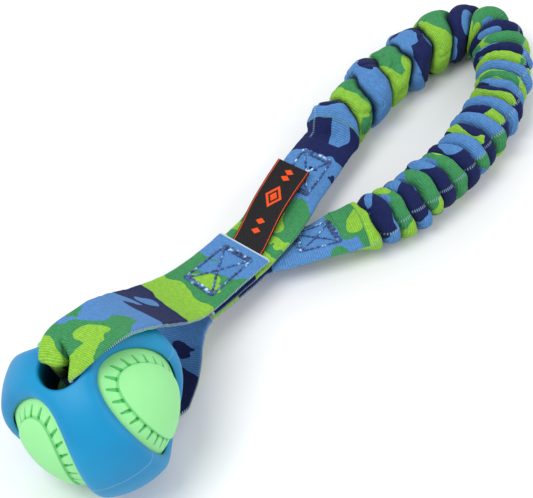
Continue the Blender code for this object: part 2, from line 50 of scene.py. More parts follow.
# ------------------------------------------------------------------ camera
AZ, EL = math.radians(-55), math.radians(50)
CR = np.array([math.cos(AZ), math.sin(AZ), 0.0])
CB = np.array([math.sin(AZ) * math.cos(EL), -math.cos(AZ) * math.cos(EL), math.sin(EL)])
CU = np.cross(CB, CR)
cam = bpy.data.cameras.new("camera")
cam.lens, cam.sensor_width, cam.sensor_fit = 2605.0 * 36 / 533, 36.0, "HORIZONTAL"
cam.clip_start, cam.clip_end = 0.05, 20.0
camera = bpy.data.objects.new("camera", cam)
spot = (np.array([-434.0, -380.4, 807.2]) + SHIFT) * MM
M = Matrix.Identity(4)
for r in range(3):
    M[r][0], M[r][1], M[r][2], M[r][3] = CR[r], CU[r], CB[r], spot[r]
camera.matrix_world = M
bpy.context.scene.collection.objects.link(camera)
bpy.context.scene.camera = camera
bpy.context.scene.view_settings.view_transform = "Standard"
bpy.context.scene.view_settings.look = "None"

# ------------------------------------------------------------------ driving sizes, mm
BALL_R, CORE_R, SHELL_IN_R = 35.0, 30.6, 30.9
BORE_R, COLLAR_OUT_R, COLLAR_DEPTH, LIP_R = 8.5, 11.0, 18.0, 1.5
WINDOW_POLAR, WIDE, TALL = math.radians(83.0), math.radians(35.1), math.radians(58.0)
DISC_WIDE, DISC_TALL = math.radians(23.3), math.radians(43.4)
CORE_MOUTH = 13.4
STRAP_W, STRAP_T, GAP = 25.0, 2.2, 0.3
FOLD_HALF, FOLD_T, BORE_OFF = 5.6, 5.0, 2.9
SLEEVE_R, CORE_CORD_R = 11.5, 5.0
LABEL_W, LABEL_T = 14.0, 0.7
BEND_X = 229.0


def unit(v):
    v = np.asarray(v, float)
    return v / np.linalg.norm(v)


BORE_AXIS = unit([-0.360, 0.170, 0.917])
BALL_C = np.array([0.0, 0.0, BALL_R])
WINDOW_AIM = np.array([0.286, -0.867, 0.408])
BU = unit(WINDOW_AIM - (WINDOW_AIM @ BORE_AXIS) * BORE_AXIS)
BV = np.cross(BORE_AXIS, BU)
A = -BORE_AXIS
BORE_SIDE = unit(np.array([1.0, 0.0, 0.0]) - BORE_AXIS[0] * BORE_AXIS)
UP = np.array([0.0, 0.0, 1.0])


def bore_point(along):
    return BALL_C + along * BORE_AXIS + BORE_OFF * BORE_SIDE


# ------------------------------------------------------------------ routes, as in the construction
FRONT_LEG = [
    (104.5, 7.2, 17.4, -2, 0), (96.3, 7.6, 18.1, -3, 0), (87.6, 8.2, 19.0, -2, 0),
    (78.2, 8.6, 20.6, 2, 0), (69.3, 8.9, 23.1, 7, 0), (61.7, 9.0, 26.6, 11, 0),
    (55.0, 8.7, 31.4, 12, 0), (48.2, 7.9, 37.4, 13, 0), (41.3, 6.4, 44.3, 14, 0),
    (34.8, 4.8, 51.3, 13, 0), (28.8, 3.3, 57.8, 10, 0), (22.5, 2.1, 63.9, 4, 0),
    (15.7, 1.6, 69.3, -2, 0), (9.5, 1.8, 72.5, -5, 0.03), (4.0, 2.6, 73.9, -6, 0.15),
]
REAR_LEG = [
    (24.5, -5.0, 2.5, 0, 0.85), (29.0, -3.8, 1.8, 0, 0.4), (34.0, -2.0, 1.1, 0, 0),
    (43.5, 1.4, 1.1, 0, 0), (49.0, 3.8, 3.6, 0, 0), (55.2, 7.0, 8.8, 0, 0),
    (60.5, 8.6, 13.4, 2, 0), (64.8, 9.1, 15.9, 4, 0), (68.3, 9.0, 16.8, 6, 0),
]
FRONT_TAIL = [
    (104.5, 7.2, 13.9, -2, 0), (118.0, 7.0, 13.4, -6, 0), (137.0, 9.6, 12.9, 1, 0),
    (155.0, 11.8, 12.4, 8, 0), (172.0, 13.8, 11.7, 0, 0),
]
REAR_TAIL = [
    (104.5, 7.2, 11.4, -2, 0), (111.0, 4.6, 9.8, -6, 0), (118.5, -2.6, 9.4, -12, 0),
    (127.8, -10.8, 10.2, -12, 0), (137.5, -17.0, 11.5, 0, 0),
]
LOOP = [
    (137.5, -17.0), (148.0, -23.6), (162.0, -29.6), (180.0, -33.6), (200.0, -34.6),
    (217.0, -33.2), (232.0, -30.4), (246.0, -25.6), (257.5, -18.2), (264.0, -9.2),
    (263.6, 0.0), (256.0, 7.6), (244.0, 12.2), (230.0, 14.8), (215.0, 16.2),
    (200.0, 16.6), (185.0, 15.6), (172.0, 13.8),
]
LABEL = [
    (109.6, 7.8, 0.2), (117.0, 9.4, 0.9), (128.0, 11.8, 2.2), (140.0, 14.2, 2.5),
    (151.6, 16.2, 2.3),
]


def pchip(t, y, ts):
    """Monotone cubic through (t, y): it never swings past its points."""
    t, y = np.asarray(t, float), np.asarray(y, float)
    h = np.diff(t)
    d = np.diff(y, axis=0) / h[:, None]
    m = np.zeros_like(y)
    for k in range(1, len(t) - 1):
        w1, w2 = 2 * h[k] + h[k - 1], h[k] + 2 * h[k - 1]
        for c in range(y.shape[1]):
            a, b = d[k - 1, c], d[k, c]
            m[k, c] = 0 if a * b <= 0 else (w1 + w2) / (w1 / a + w2 / b)
    m[0], m[-1] = d[0], d[-1]
    k = np.clip(np.searchsorted(t, ts, side="right") - 1, 0, len(t) - 2)
    s = ((ts - t[k]) / h[k])[:, None]
    hh = h[k][:, None]
    return (
        (2 * s**3 - 3 * s**2 + 1) * y[k]
        + (s**3 - 2 * s**2 + s) * hh * m[k]
        + (-2 * s**3 + 3 * s**2) * y[k + 1]
        + (s**3 - s**2) * hh * m[k + 1]
    )


def catmull(points, per):
    p = np.asarray(points, float)
    p = np.vstack([2 * p[0] - p[1], p, 2 * p[-1] - p[-2]])
    out = []
    for k in range(1, len(p) - 2):
        t = np.linspace(0, 1, per, endpoint=False)[:, None]
        a, b, c, d = p[k - 1], p[k], p[k + 1], p[k + 2]
        out.append(
            0.5 * (2 * b + (c - a) * t + (2 * a - 5 * b + 4 * c - d) * t**2
                   + (3 * b - a - 3 * c + d) * t**3)
        )
    out.append(p[-2][None])
    return np.vstack(out)


def arc_length(P):
    return np.concatenate([[0], np.cumsum(np.linalg.norm(np.diff(P, axis=0), axis=1))])


def lerp_rows(s, S, rows):
    s = np.asarray(s, float)
    return np.stack([np.interp(s, S, rows[:, c]) for c in range(rows.shape[1])], -1)


def rows_unit(a):
    return a / np.linalg.norm(a, axis=-1, keepdims=True)


class Route:
    """A webbing route: middle line, width direction, outer normal and fold."""

    def __init__(self, P, W, fold):
        self.P, self.fold = P, fold
        self.s = arc_length(P)
        T = np.gradient(P, self.s, axis=0)
        self.T = rows_unit(T)
        W = W - (W * self.T).sum(1)[:, None] * self.T
        self.W = rows_unit(W)
        self.N = np.cross(self.T, self.W)
        self.length = self.s[-1]

    def frames(self, s):
        P = lerp_rows(s, self.s, self.P)
        W = rows_unit(lerp_rows(s, self.s, self.W))
        N = rows_unit(lerp_rows(s, self.s, self.N))
        return P, W, N

    def at(self, s, v=0.0, h=0.0):
        P, W, N = self.frames(np.array([s], float))
        return P[0] + W[0] * v + N[0] * h

    def s_at_x(self, x):
        return float(self.s[np.abs(self.P[:, 0] - x).argmin()])


def width_at(T, tilt):
    side = np.cross(T, [0, 0, 1.0])
    side = unit(side if side[1] < 0 else -side)
    up = np.cross(side, T)
    up = up if up[2] > 0 else -up
    a = math.radians(tilt)
    return math.cos(a) * side - math.sin(a) * up


def route_from(stations, n=120):
    st = np.asarray(stations, float)
    t = arc_length(st[:, :3])
    ts = np.linspace(0, t[-1], n)
    Q = pchip(t, st, ts)
    P = Q[:, :3]
    T = np.gradient(P, axis=0)
    W = np.array([width_at(unit(T[i]), Q[i, 3]) for i in range(n)])
    return P, W, Q[:, 4]


def strap_loop():
    P1, W1, c1 = route_from(FRONT_LEG, 110)
    P3, W3, c3 = route_from(REAR_LEG, 90)
    top, low = bore_point(28.0), bore_point(-27.0)

    def corner(p0, t0, p1, t1, n, k=1.0):
        d = np.linalg.norm(p1 - p0) * k
        s = np.linspace(0, 1, n)[:, None]
        return (
            (2 * s**3 - 3 * s**2 + 1) * p0 + (s**3 - 2 * s**2 + s) * d * t0
            + (-2 * s**3 + 3 * s**2) * p1 + (s**3 - s**2) * d * t1
        )
    into = corner(P1[-1], unit(P1[-1] - P1[-2]), top, A, 24, 1.55)
    run = np.linspace(top, low, 40)
    out = corner(low, A, P3[0], unit(P3[1] - P3[0]), 24, 1.1)
    P = np.vstack([P1, into[1:], run[1:], out[1:], P3[1:]])
    Wb = np.cross(BORE_AXIS, BORE_SIDE)
    Wb = Wb if Wb[1] < 0 else -Wb

    def fade(Wa, Wz, n):
        s = np.linspace(0, 1, n)[1:, None]
        s = s * s * (3 - 2 * s)
        return Wa * (1 - s) + Wz * s
    W = np.vstack([W1, fade(W1[-1], Wb, 24), np.repeat(Wb[None], 39, 0),
                   fade(Wb, W3[0], 24), W3[1:]])
    f = np.linspace(0, 1, 24)[1:]
    g = f * f * (3 - 2 * f)
    curl = np.concatenate([c1, c1[-1] + (1 - c1[-1]) * g, np.ones(39),
                           1 + (c3[0] - 1) * g, c3[1:]])
    return Route(P, W, curl), len(P1) + 23, len(P1) + 23 + 39


LOOP_ROUTE, I_TOP, I_LOW = strap_loop()
LAY2 = -(STRAP_T / 2 + GAP + LABEL_T + GAP + STRAP_T / 2)
LAY1 = LAY2 - STRAP_T - GAP


def tail_route(stations, lift):
    """Under the front leg's end, then along the tail's own route."""
    P, W, c = route_from(stations, 80)
    own = Route(P, W, c)
    s_end = LOOP_ROUTE.s_at_x(71.5)
    ss = np.linspace(s_end, 1.0, 30)
    P = [LOOP_ROUTE.at(s, 0, lift) for s in ss]
    W = [unit(LOOP_ROUTE.at(s, 1, lift) - LOOP_ROUTE.at(s, 0, lift)) for s in ss]
    P = np.vstack([P, own.P[4:]])
    W = np.vstack([W, own.W[4:]])
    return Route(P, -W, np.zeros(len(P)))


FT = tail_route(FRONT_TAIL, LAY2)
RT = tail_route(REAR_TAIL, LAY1)

TUBE = catmull(LOOP, 12)
TUBE = np.column_stack([TUBE, np.full(len(TUBE), SLEEVE_R)])
TS = arc_length(TUBE)
TT = rows_unit(np.gradient(TUBE, TS, axis=0))
TOTAL = TS[-1]


# ------------------------------------------------------------------ small tools
def smooth(x):
    x = np.clip(x, 0, 1)
    return x * x * (3 - 2 * x)


def hash3(i, j, k, seed=0):
    """A number in 0..1 for each lattice point."""
    i, j, k = (np.asarray(a).astype(np.int64) for a in (i, j, k))
    h = (i * 374761393 + j * 668265263 + k * 2147483647 + seed * 1274126177) & 0xFFFFFFFF
    h = ((h ^ (h >> 13)) * 1274126177) & 0xFFFFFFFF
    h = ((h ^ (h >> 16)) * 2246822519) & 0xFFFFFFFF
    return ((h ^ (h >> 15)) & 0xFFFFFF) / float(0xFFFFFF)


def noise(x, y, z, seed=0):
    """Smooth value noise, -1..1."""
    x, y, z = np.broadcast_arrays(*(np.asarray(a, float) for a in (x, y, z)))
    xi, yi, zi = np.floor(x), np.floor(y), np.floor(z)
    fx, fy, fz = (smooth(a) for a in (x - xi, y - yi, z - zi))
    out = 0
    for a in (0, 1):
        for b in (0, 1):
            for c in (0, 1):
                w = (fx if a else 1 - fx) * (fy if b else 1 - fy) * (fz if c else 1 - fz)
                out = out + w * hash3(xi + a, yi + b, zi + c, seed)
    return out * 2 - 1


def mesh_object(name, verts, faces, mats, uv=None, face_mat=None, attrs=None, smooth_on=True):
    """verts in mm from the ball's centre; uv per face corner, in decimetres of cloth."""
    co = ((np.asarray(verts, float) + SHIFT) * MM).astype(np.float32)
    me = bpy.data.meshes.new(name)
    quads = [list(map(int, f)) for f in faces]
    me.from_pydata(co.tolist(), [], quads)
    for m in mats:
        me.materials.append(m)
    if uv is not None:
        lay = me.uv_layers.new(name="fab")
        lay.data.foreach_set("uv", np.asarray(uv, np.float32).ravel())
    if face_mat is not None:
        me.polygons.foreach_set("material_index", np.asarray(face_mat, np.int32))
    for key, val in (attrs or {}).items():
        at = me.attributes.new(key, "FLOAT", "POINT")
        at.data.foreach_set("value", np.asarray(val, np.float32))
    me.polygons.foreach_set("use_smooth", np.full(len(quads), smooth_on))
    me.update()
    me.validate()
    ob = bpy.data.objects.new(name, me)
    bpy.context.scene.collection.objects.link(ob)
    return ob


def grid_faces(m, n, closed=True, base=0, flip=False):
    """Quads of an m by n grid, closed round its second way, and for each corner its (row, column)."""
    i = np.arange(m - 1)[:, None]
    j = np.arange(n if closed else n - 1)[None]
    i, j = np.broadcast_arrays(i, j)
    i, j = i.ravel(), j.ravel()
    jj = (j + 1) % n
    f = np.stack([i * n + j, i * n + jj, (i + 1) * n + jj, (i + 1) * n + j], 1) + base
    rows = np.stack([i, i, i + 1, i + 1], 1)
    cols = np.stack([j, j + 1, j + 1, j], 1)
    if flip:
        f, rows, cols = f[:, ::-1], rows[:, ::-1], cols[:, ::-1]
    return f, rows, cols


# ------------------------------------------------------------------ node helpers
def new_mat(name, rough=0.6, sheen=0.0, sheen_rough=0.5, coat=0.0, spec=0.5):
    m = bpy.data.materials.new(name)
    m.use_nodes = True
    nt = m.node_tree
    p = nt.nodes["Principled BSDF"]
    p.inputs["Roughness"].default_value = rough
    p.inputs["Specular IOR Level"].default_value = spec
    if sheen:
        p.inputs["Sheen Weight"].default_value = sheen
        p.inputs["Sheen Roughness"].default_value = sheen_rough
    if coat:
        p.inputs["Coat Weight"].default_value = coat
        p.inputs["Coat Roughness"].default_value = 0.35
    return m, nt, p


def put(nt, kind, ins=None, **props):
    n = nt.nodes.new(kind)
    for k, v in props.items():
        setattr(n, k, v)
    for k, v in (ins or {}).items():
        s = n.inputs[k]
        if isinstance(v, bpy.types.NodeSocket):
            nt.links.new(v, s)
        else:
            s.default_value = v
    return n


def calc(nt, op, a, b=None, c=None, clamp=False):
    n = nt.nodes.new("ShaderNodeMath")
    n.operation, n.use_clamp = op, clamp
    for k, v in enumerate((a, b, c)):
        if v is None:
            continue
        if isinstance(v, bpy.types.NodeSocket):
            nt.links.new(v, n.inputs[k])
        else:
            n.inputs[k].default_value = v
    return n.outputs[0]


def mix(nt, f, a, b, kind="MIX"):
    n = nt.nodes.new("ShaderNodeMix")
    n.data_type, n.blend_type = "RGBA", kind
    for s, v in ((n.inputs[0], f), (n.inputs[6], a), (n.inputs[7], b)):
        if isinstance(v, bpy.types.NodeSocket):
            nt.links.new(v, s)
        elif isinstance(v, tuple):
            s.default_value = (*v, 1)
        else:
            s.default_value = v
    return n.outputs[2]


def ramp(nt, fac, stops, kind="CONSTANT"):
    n = nt.nodes.new("ShaderNodeValToRGB")
    n.color_ramp.interpolation = kind
    el = n.color_ramp.elements
    while len(el) > 1:
        el.remove(el[-1])
    el[0].position, el[0].color = stops[0][0], (*stops[0][1], 1)
    for pos, col in stops[1:]:
        e = el.new(pos)
        e.color = (*col, 1)
    nt.links.new(fac, n.inputs[0])
    return n.outputs[0]


def rgb(r, g, b):
    """sRGB 0..255 to the linear values that shaders take."""
    return tuple((c / 255 / 12.92) if c <= 10 else ((c / 255 + 0.055) / 1.055) ** 2.4
                 for c in (r, g, b))


NAVY, GREEN = rgb(30, 38, 84), rgb(64, 140, 88)
LIME, SKY = rgb(138, 192, 66), rgb(84, 134, 192)
REPEAT = 0.98        # one repeat of the print along the webbing, dm


def webbing(name, start=0.0, seed=0.0, hollow=False, folds=False):
    """Ribbed tubular webbing. The print is four wavy bands of colour across it
    with a plain blot in two of them. fab UV: u along, v round the tube
    (0..0.25 outer face, 0.25..0.5 inner face), in decimetres."""
    m, nt, p = new_mat(name, rough=0.85, sheen=0.03, sheen_rough=0.45, spec=0.08)
    uv = put(nt, "ShaderNodeUVMap", uv_map="fab").outputs[0]
    sep = put(nt, "ShaderNodeSeparateXYZ", {0: uv}).outputs
    u, v = sep[0], sep[1]
    inner = calc(nt, "GREATER_THAN", v, 0.25)
    face_v = calc(nt, "MULTIPLY_ADD", inner, -0.25, v)
    vec = put(nt, "ShaderNodeCombineXYZ", {0: calc(nt, "ADD", u, seed), 1: v, 2: 0.0}).outputs[0]
    # two sizes of wobble make the edges of the bands wander in steps
    n1 = put(nt, "ShaderNodeTexNoise", {"Vector": vec, "Scale": 8.5, "Detail": 0.0})
    n2 = put(nt, "ShaderNodeTexNoise", {"Vector": vec, "Scale": 24.0, "Detail": 1.0})
    c1 = put(nt, "ShaderNodeSeparateColor", {0: n1.outputs["Color"]}).outputs
    c2 = put(nt, "ShaderNodeSeparateColor", {0: n2.outputs["Color"]}).outputs
    wu = calc(nt, "MULTIPLY_ADD", calc(nt, "SUBTRACT", c1[0], 0.5), 0.44,
              calc(nt, "MULTIPLY", calc(nt, "SUBTRACT", c2[0], 0.5), 0.06))
    wv = calc(nt, "MULTIPLY", calc(nt, "SUBTRACT", c1[1], 0.5), 0.12)
    at_u = calc(nt, "ADD", calc(nt, "MULTIPLY_ADD", inner, 0.10 if folds else 0.37, calc(nt, "ADD", u, start)), wu)
    if folds:
        at_u = calc(nt, "ADD", at_u, put(nt, "ShaderNodeAttribute", attribute_name="apart").outputs["Fac"])
    band = calc(nt, "FRACT", calc(nt, "DIVIDE", at_u, REPEAT))
    base = ramp(nt, band, [(0.0, SKY), (0.29, GREEN), (0.48, LIME), (0.67, NAVY), (0.985, SKY)])
    # a blot in the green band and one in the navy band
    own = calc(nt, "FRACT", calc(nt, "DIVIDE", calc(nt, "SUBTRACT", at_u, calc(nt, "MULTIPLY", wu, 0.88)), REPEAT))
    for mid, across, half_u, half_v, hue in ((0.385, 0.14, 0.050, 0.042, LIME), (0.82, 0.11, 0.062, 0.036, SKY)):
        a = calc(nt, "DIVIDE", calc(nt, "MULTIPLY_ADD", calc(nt, "SUBTRACT", own, mid), REPEAT,
                                    calc(nt, "MULTIPLY", calc(nt, "SUBTRACT", c1[2], 0.5), 0.05)), half_u)
        b = calc(nt, "DIVIDE", calc(nt, "ADD", calc(nt, "SUBTRACT", face_v, across), wv), half_v)
        inside = calc(nt, "LESS_THAN", calc(nt, "ADD", calc(nt, "MULTIPLY", a, a), calc(nt, "MULTIPLY", b, b)), 1.0)
        base = mix(nt, inside, base, hue)
    col = base
    # uneven dye and yarn grain, and ribs whose troughs are darkened, a painted shade
    dye = put(nt, "ShaderNodeTexNoise", {"Vector": vec, "Scale": 60.0, "Detail": 4.0,
                                         "Roughness": 0.7}).outputs[0]
    col = mix(nt, 0.55, col, mix(nt, dye, (0.25, 0.25, 0.25), (1.6, 1.6, 1.6)), "MULTIPLY")
    rib = calc(nt, "SINE", calc(nt, "MULTIPLY", u, 2 * math.pi / 0.0085))
    yarn = put(nt, "ShaderNodeTexNoise",
               {"Vector": put(nt, "ShaderNodeVectorMath", {0: vec, 1: (110.0, 260.0, 1.0)},
                              operation="MULTIPLY").outputs[0],
                "Scale": 1.0, "Detail": 2.0}).outputs[0]
    line = calc(nt, "MULTIPLY_ADD", rib, 0.15, 0.93)
    line = calc(nt, "MULTIPLY", line, calc(nt, "MULTIPLY_ADD", yarn, 0.62, 0.72))
    col = mix(nt, 1.0, col, put(nt, "ShaderNodeCombineColor", {0: line, 1: line, 2: line}).outputs[0],
              "MULTIPLY")
    # selvage: light and dark cross ticks at both edges of the flat tube
    d1 = calc(nt, "ABSOLUTE", calc(nt, "SUBTRACT", v, 0.25))
    d0 = calc(nt, "MINIMUM", v, calc(nt, "SUBTRACT", 0.5, v))
    edge = calc(nt, "MINIMUM", d1, d0)
    on = calc(nt, "LESS_THAN", edge, 0.0045 if folds else 0.0075)
    tick = calc(nt, "GREATER_THAN", calc(nt, "FRACT", calc(nt, "DIVIDE", u, 0.0085)), 0.55)
    if hollow:
        # painted shade inside the bore and on the rear leg, from the deep attribute; the selvage ticks stay out of it
        at = put(nt, "ShaderNodeAttribute", attribute_name="deep").outputs["Fac"]
        col = mix(nt, calc(nt, "MULTIPLY", at, 0.92), col, rgb(8, 14, 24))
        on = calc(nt, "MULTIPLY", on, calc(nt, "LESS_THAN", at, 0.5))
    sel = mix(nt, tick, mix(nt, 0.6, col, NAVY), rgb(168, 200, 214))
    col = mix(nt, calc(nt, "MULTIPLY", on, 0.45 if folds else 0.75), col, sel)
    if folds:
        # painted shade in the valleys between the sleeve's folds
        at = put(nt, "ShaderNodeAttribute", attribute_name="valley_shade").outputs["Fac"]
        col = mix(nt, calc(nt, "MULTIPLY", at, 0.92), col, rgb(10, 16, 40))
    if hollow:
        # pale sealed fibres at the cut end
        col = mix(nt, calc(nt, "MULTIPLY", calc(nt, "LESS_THAN", u, 0.0065), 0.85), col, rgb(214, 224, 230))
    nt.links.new(col, p.inputs["Base Color"])
    h = calc(nt, "MULTIPLY_ADD", yarn, 0.8, calc(nt, "MULTIPLY", rib, 0.5))
    bump = put(nt, "ShaderNodeBump", {"Strength": 0.55, "Distance": 0.00022, "Height": h})
    nt.links.new(bump.outputs[0], p.inputs["Normal"])
    nt.links.new(calc(nt, "MULTIPLY_ADD", yarn, 0.10, 0.80), p.inputs["Roughness"])
    return m


def cut_edge():
    """Sealed end of the cut webbing: pale fibre ends."""
    m, nt, p = new_mat("cut_webbing_end", rough=0.7)
    co = put(nt, "ShaderNodeTexCoord").outputs["Object"]
    n = put(nt, "ShaderNodeTexNoise", {"Vector": co, "Scale": 1400.0, "Detail": 3.0}).outputs[0]
    nt.links.new(ramp(nt, n, [(0.35, rgb(90, 110, 150)), (0.5, rgb(215, 225, 235)),
                              (0.7, rgb(245, 248, 250))], "LINEAR"), p.inputs["Base Color"])
    nt.links.new(put(nt, "ShaderNodeBump", {"Strength": 0.5, "Distance": 0.0002, "Height": n}).outputs[0],
                 p.inputs["Normal"])
    return m


def rubber(name, lit, deep, rough, groove_shade=None, hollow=None):
    m, nt, p = new_mat(name, rough=rough, spec=0.32)
    co = put(nt, "ShaderNodeTexCoord").outputs["Object"]
    big = put(nt, "ShaderNodeTexNoise", {"Vector": co, "Scale": 38.0, "Detail": 2.0}).outputs[0]
    fine = put(nt, "ShaderNodeTexNoise", {"Vector": co, "Scale": 2600.0, "Detail": 2.0}).outputs[0]
    col = ramp(nt, big, [(0.3, deep), (0.7, lit)], "LINEAR")
    if groove_shade:
        # painted shade in the core's tick grooves, the moat round each disc and the disc's step
        at = put(nt, "ShaderNodeAttribute", attribute_name="groove_shade").outputs["Fac"]
        col = mix(nt, at, col, groove_shade)
    if hollow:
        # painted shade inside the bore, from the deep attribute
        at = put(nt, "ShaderNodeAttribute", attribute_name="deep").outputs["Fac"]
        col = mix(nt, calc(nt, "MULTIPLY", at, 0.93), col, hollow)
        # the mould's parting line, round the ball half way between the holes, lightened as a painted highlight along
        # its fine ridge
        turn = put(nt, "ShaderNodeVectorMath",
                   {0: put(nt, "ShaderNodeVectorMath",
                           {0: co, 1: tuple(float(c) for c in (BALL_C + SHIFT) * MM)}, operation="SUBTRACT").outputs[0],
                    1: tuple(float(c) for c in BORE_AXIS)}, operation="DOT_PRODUCT").outputs["Value"]
        line = calc(nt, "LESS_THAN", calc(nt, "ABSOLUTE", turn), 0.00022)
        col = mix(nt, calc(nt, "MULTIPLY", line, 0.35), col, rgb(150, 200, 225))
    nt.links.new(col, p.inputs["Base Color"])
    nt.links.new(calc(nt, "MULTIPLY_ADD", fine, 0.16, rough - 0.08), p.inputs["Roughness"])
    scuff = put(nt, "ShaderNodeTexNoise", {"Vector": co, "Scale": 320.0, "Detail": 4.0}).outputs[0]
    h = calc(nt, "MULTIPLY_ADD", scuff, 0.6, calc(nt, "MULTIPLY", fine, 0.5))
    nt.links.new(put(nt, "ShaderNodeBump", {"Strength": 0.22, "Distance": 0.00012, "Height": h}).outputs[0],
                 p.inputs["Normal"])
    return m


def thread_mat(name):
    m, nt, p = new_mat(name, rough=0.42, sheen=0.2)
    co = put(nt, "ShaderNodeTexCoord").outputs["Object"]
    n = put(nt, "ShaderNodeTexNoise", {"Vector": co, "Scale": 420.0, "Detail": 1.0}).outputs[0]
    ply = put(nt, "ShaderNodeTexNoise", {"Vector": co, "Scale": 4200.0, "Detail": 1.0}).outputs[0]
    # thread tone varies at random from navy to blue; the near-white end of the ramp paints glints, a painted highlight
    nt.links.new(ramp(nt, n, [(0.34, rgb(14, 28, 74)), (0.5, rgb(22, 74, 136)),
                              (0.60, rgb(60, 120, 180)), (0.70, rgb(190, 220, 240))], "LINEAR"), p.inputs["Base Color"])
    nt.links.new(put(nt, "ShaderNodeBump", {"Strength": 0.6, "Distance": 0.00015, "Height": ply}).outputs[0],
                 p.inputs["Normal"])
    return m


def label_mat():
    """Black woven satin, an orange thread by each long edge, and plain orange
    lozenges. fab UV: u along from the sewn end, v across -0.07..0.07, in dm."""
    m, nt, p = new_mat("label_satin", rough=0.62, sheen=0.03, spec=0.15)
    uv = put(nt, "ShaderNodeUVMap", uv_map="fab").outputs[0]
    sep = put(nt, "ShaderNodeSeparateXYZ", {0: uv}).outputs
    u, v = sep[0], sep[1]
    av = calc(nt, "ABSOLUTE", v)
    line = calc(nt, "LESS_THAN", calc(nt, "ABSOLUTE", calc(nt, "SUBTRACT", av, 0.0652)), 0.0015)

    def lozenge(at, half_u, half_v):
        a = calc(nt, "DIVIDE", calc(nt, "ABSOLUTE", calc(nt, "SUBTRACT", u, at)), half_u)
        b = calc(nt, "DIVIDE", av, half_v)
        return calc(nt, "ADD", a, b)
    big = lozenge(0.30, 0.060, 0.036)
    mark = calc(nt, "LESS_THAN", big, 1.0)
    mark = calc(nt, "MULTIPLY", mark, calc(nt, "GREATER_THAN",
                calc(nt, "ABSOLUTE", calc(nt, "SUBTRACT", big, 0.55)), 0.12))
    for at in (0.12, 0.17, 0.405, 0.44):
        mark = calc(nt, "MAXIMUM", mark, calc(nt, "LESS_THAN", lozenge(at, 0.016, 0.020), 1.0))
    orange = calc(nt, "MAXIMUM", line, mark)
    weft = calc(nt, "SINE", calc(nt, "MULTIPLY", u, 2 * math.pi / 0.0035))
    warp = calc(nt, "SINE", calc(nt, "MULTIPLY", v, 2 * math.pi / 0.0028))
    n = put(nt, "ShaderNodeTexNoise", {"Vector": uv, "Scale": 160.0, "Detail": 3.0}).outputs[0]
    black = ramp(nt, n, [(0.3, rgb(14, 12, 14)), (0.7, rgb(34, 31, 34))], "LINEAR")
    hue = ramp(nt, n, [(0.3, rgb(212, 62, 10)), (0.7, rgb(236, 90, 24))], "LINEAR")
    nt.links.new(mix(nt, orange, black, hue), p.inputs["Base Color"])
    h = calc(nt, "ADD", calc(nt, "MULTIPLY", weft, calc(nt, "MULTIPLY_ADD", warp, 0.3, 0.6)),
             calc(nt, "MULTIPLY", orange, 0.9))
    nt.links.new(put(nt, "ShaderNodeBump", {"Strength": 0.4, "Distance": 0.0001, "Height": h}).outputs[0],
                 p.inputs["Normal"])
    return m


def elastic_mat():
    m, nt, p = new_mat("braided_elastic", rough=0.8, sheen=0.2)
    uv = put(nt, "ShaderNodeUVMap", uv_map="fab").outputs[0]
    sep = put(nt, "ShaderNodeSeparateXYZ", {0: uv}).outputs
    a = calc(nt, "SINE", calc(nt, "MULTIPLY", calc(nt, "ADD", sep[0], sep[1]), 2 * math.pi / 0.02))
    b = calc(nt, "SINE", calc(nt, "MULTIPLY", calc(nt, "SUBTRACT", sep[0], sep[1]), 2 * math.pi / 0.02))
    h = calc(nt, "MAXIMUM", a, b)
    # the braid's low parts are painted darker, a painted shade
    nt.links.new(ramp(nt, calc(nt, "MULTIPLY_ADD", h, 0.5, 0.5),
                      [(0.1, rgb(150, 150, 145)), (0.7, rgb(232, 230, 224))], "LINEAR"),
                 p.inputs["Base Color"])
    nt.links.new(put(nt, "ShaderNodeBump", {"Strength": 0.8, "Distance": 0.0004, "Height": h}).outputs[0],
                 p.inputs["Normal"])
    return m


M_WEB = webbing("printed_webbing", 0.12, 0.0, hollow=True)
M_SLEEVE = webbing("printed_webbing_sleeve", 0.30, 11.9, folds=True)
M_CUT = cut_edge()
M_SHELL = rubber("shell_blue_rubber", rgb(0, 140, 192), rgb(0, 124, 178), 0.5, hollow=rgb(3, 24, 40))
M_CORE = rubber("core_mint_rubber", rgb(150, 228, 150), rgb(140, 222, 144), 0.52, rgb(36, 168, 78))
M_THREAD = thread_mat("blue_thread")
M_LABEL = label_mat()
M_ELASTIC = elastic_mat()


# ------------------------------------------------------------------ ball
def sphere_dir(theta, phi):
    theta, phi = np.asarray(theta)[..., None], np.asarray(phi)[..., None]
    return np.cos(theta) * BORE_AXIS + np.sin(theta) * (np.cos(phi) * BU + np.sin(phi) * BV)


class Window:
    """Flat coordinates round the middle of window k: x along the bore, y round it."""

    def __init__(self, k):
        a = math.radians(120 * k)
        side = math.cos(a) * BU + math.sin(a) * BV
        self.across = np.cross(BORE_AXIS, side)
        p = WINDOW_POLAR
        self.mid = math.cos(p) * BORE_AXIS + math.sin(p) * side
        self.down = math.cos(p) * side - math.sin(p) * BORE_AXIS

    def flat(self, d):
        q = np.arccos(np.clip(d @ self.mid, -1, 1))
        x, y = d @ self.down, d @ self.across
        r = np.hypot(x, y) + 1e-12
        return np.stack([q * x / r, q * y / r], -1)

    def dirs(self, xy):
        q = np.hypot(xy[..., 0], xy[..., 1])[..., None] + 1e-9
        return np.cos(q) * self.mid + np.sin(q) / q * (
            xy[..., :1] * self.down + xy[..., 1:] * self.across)


def sector(k, n_side, n_top, e):
    """Border of the sector round window k, as directions, and its angle round the window."""
    a0 = math.radians(120 * k)
    h = math.radians(60)
    ths = np.linspace(e, math.pi - e, n_side + 1)
    phs = np.linspace(-h, h, n_top + 1)
    th = np.concatenate([np.full(n_top, e), ths[:-1], np.full(n_top, math.pi - e), ths[::-1][:-1]])
    ph = np.concatenate([phs[:-1], np.full(n_side, h), phs[::-1][:-1], np.full(n_side, -h)])
    d = sphere_dir(th, ph + a0)
    w = Window(k)
    xy = w.flat(d)
    t = np.unwrap(np.arctan2(xy[:, 1] / WIDE, xy[:, 0] / TALL))
    return d, w, xy, t


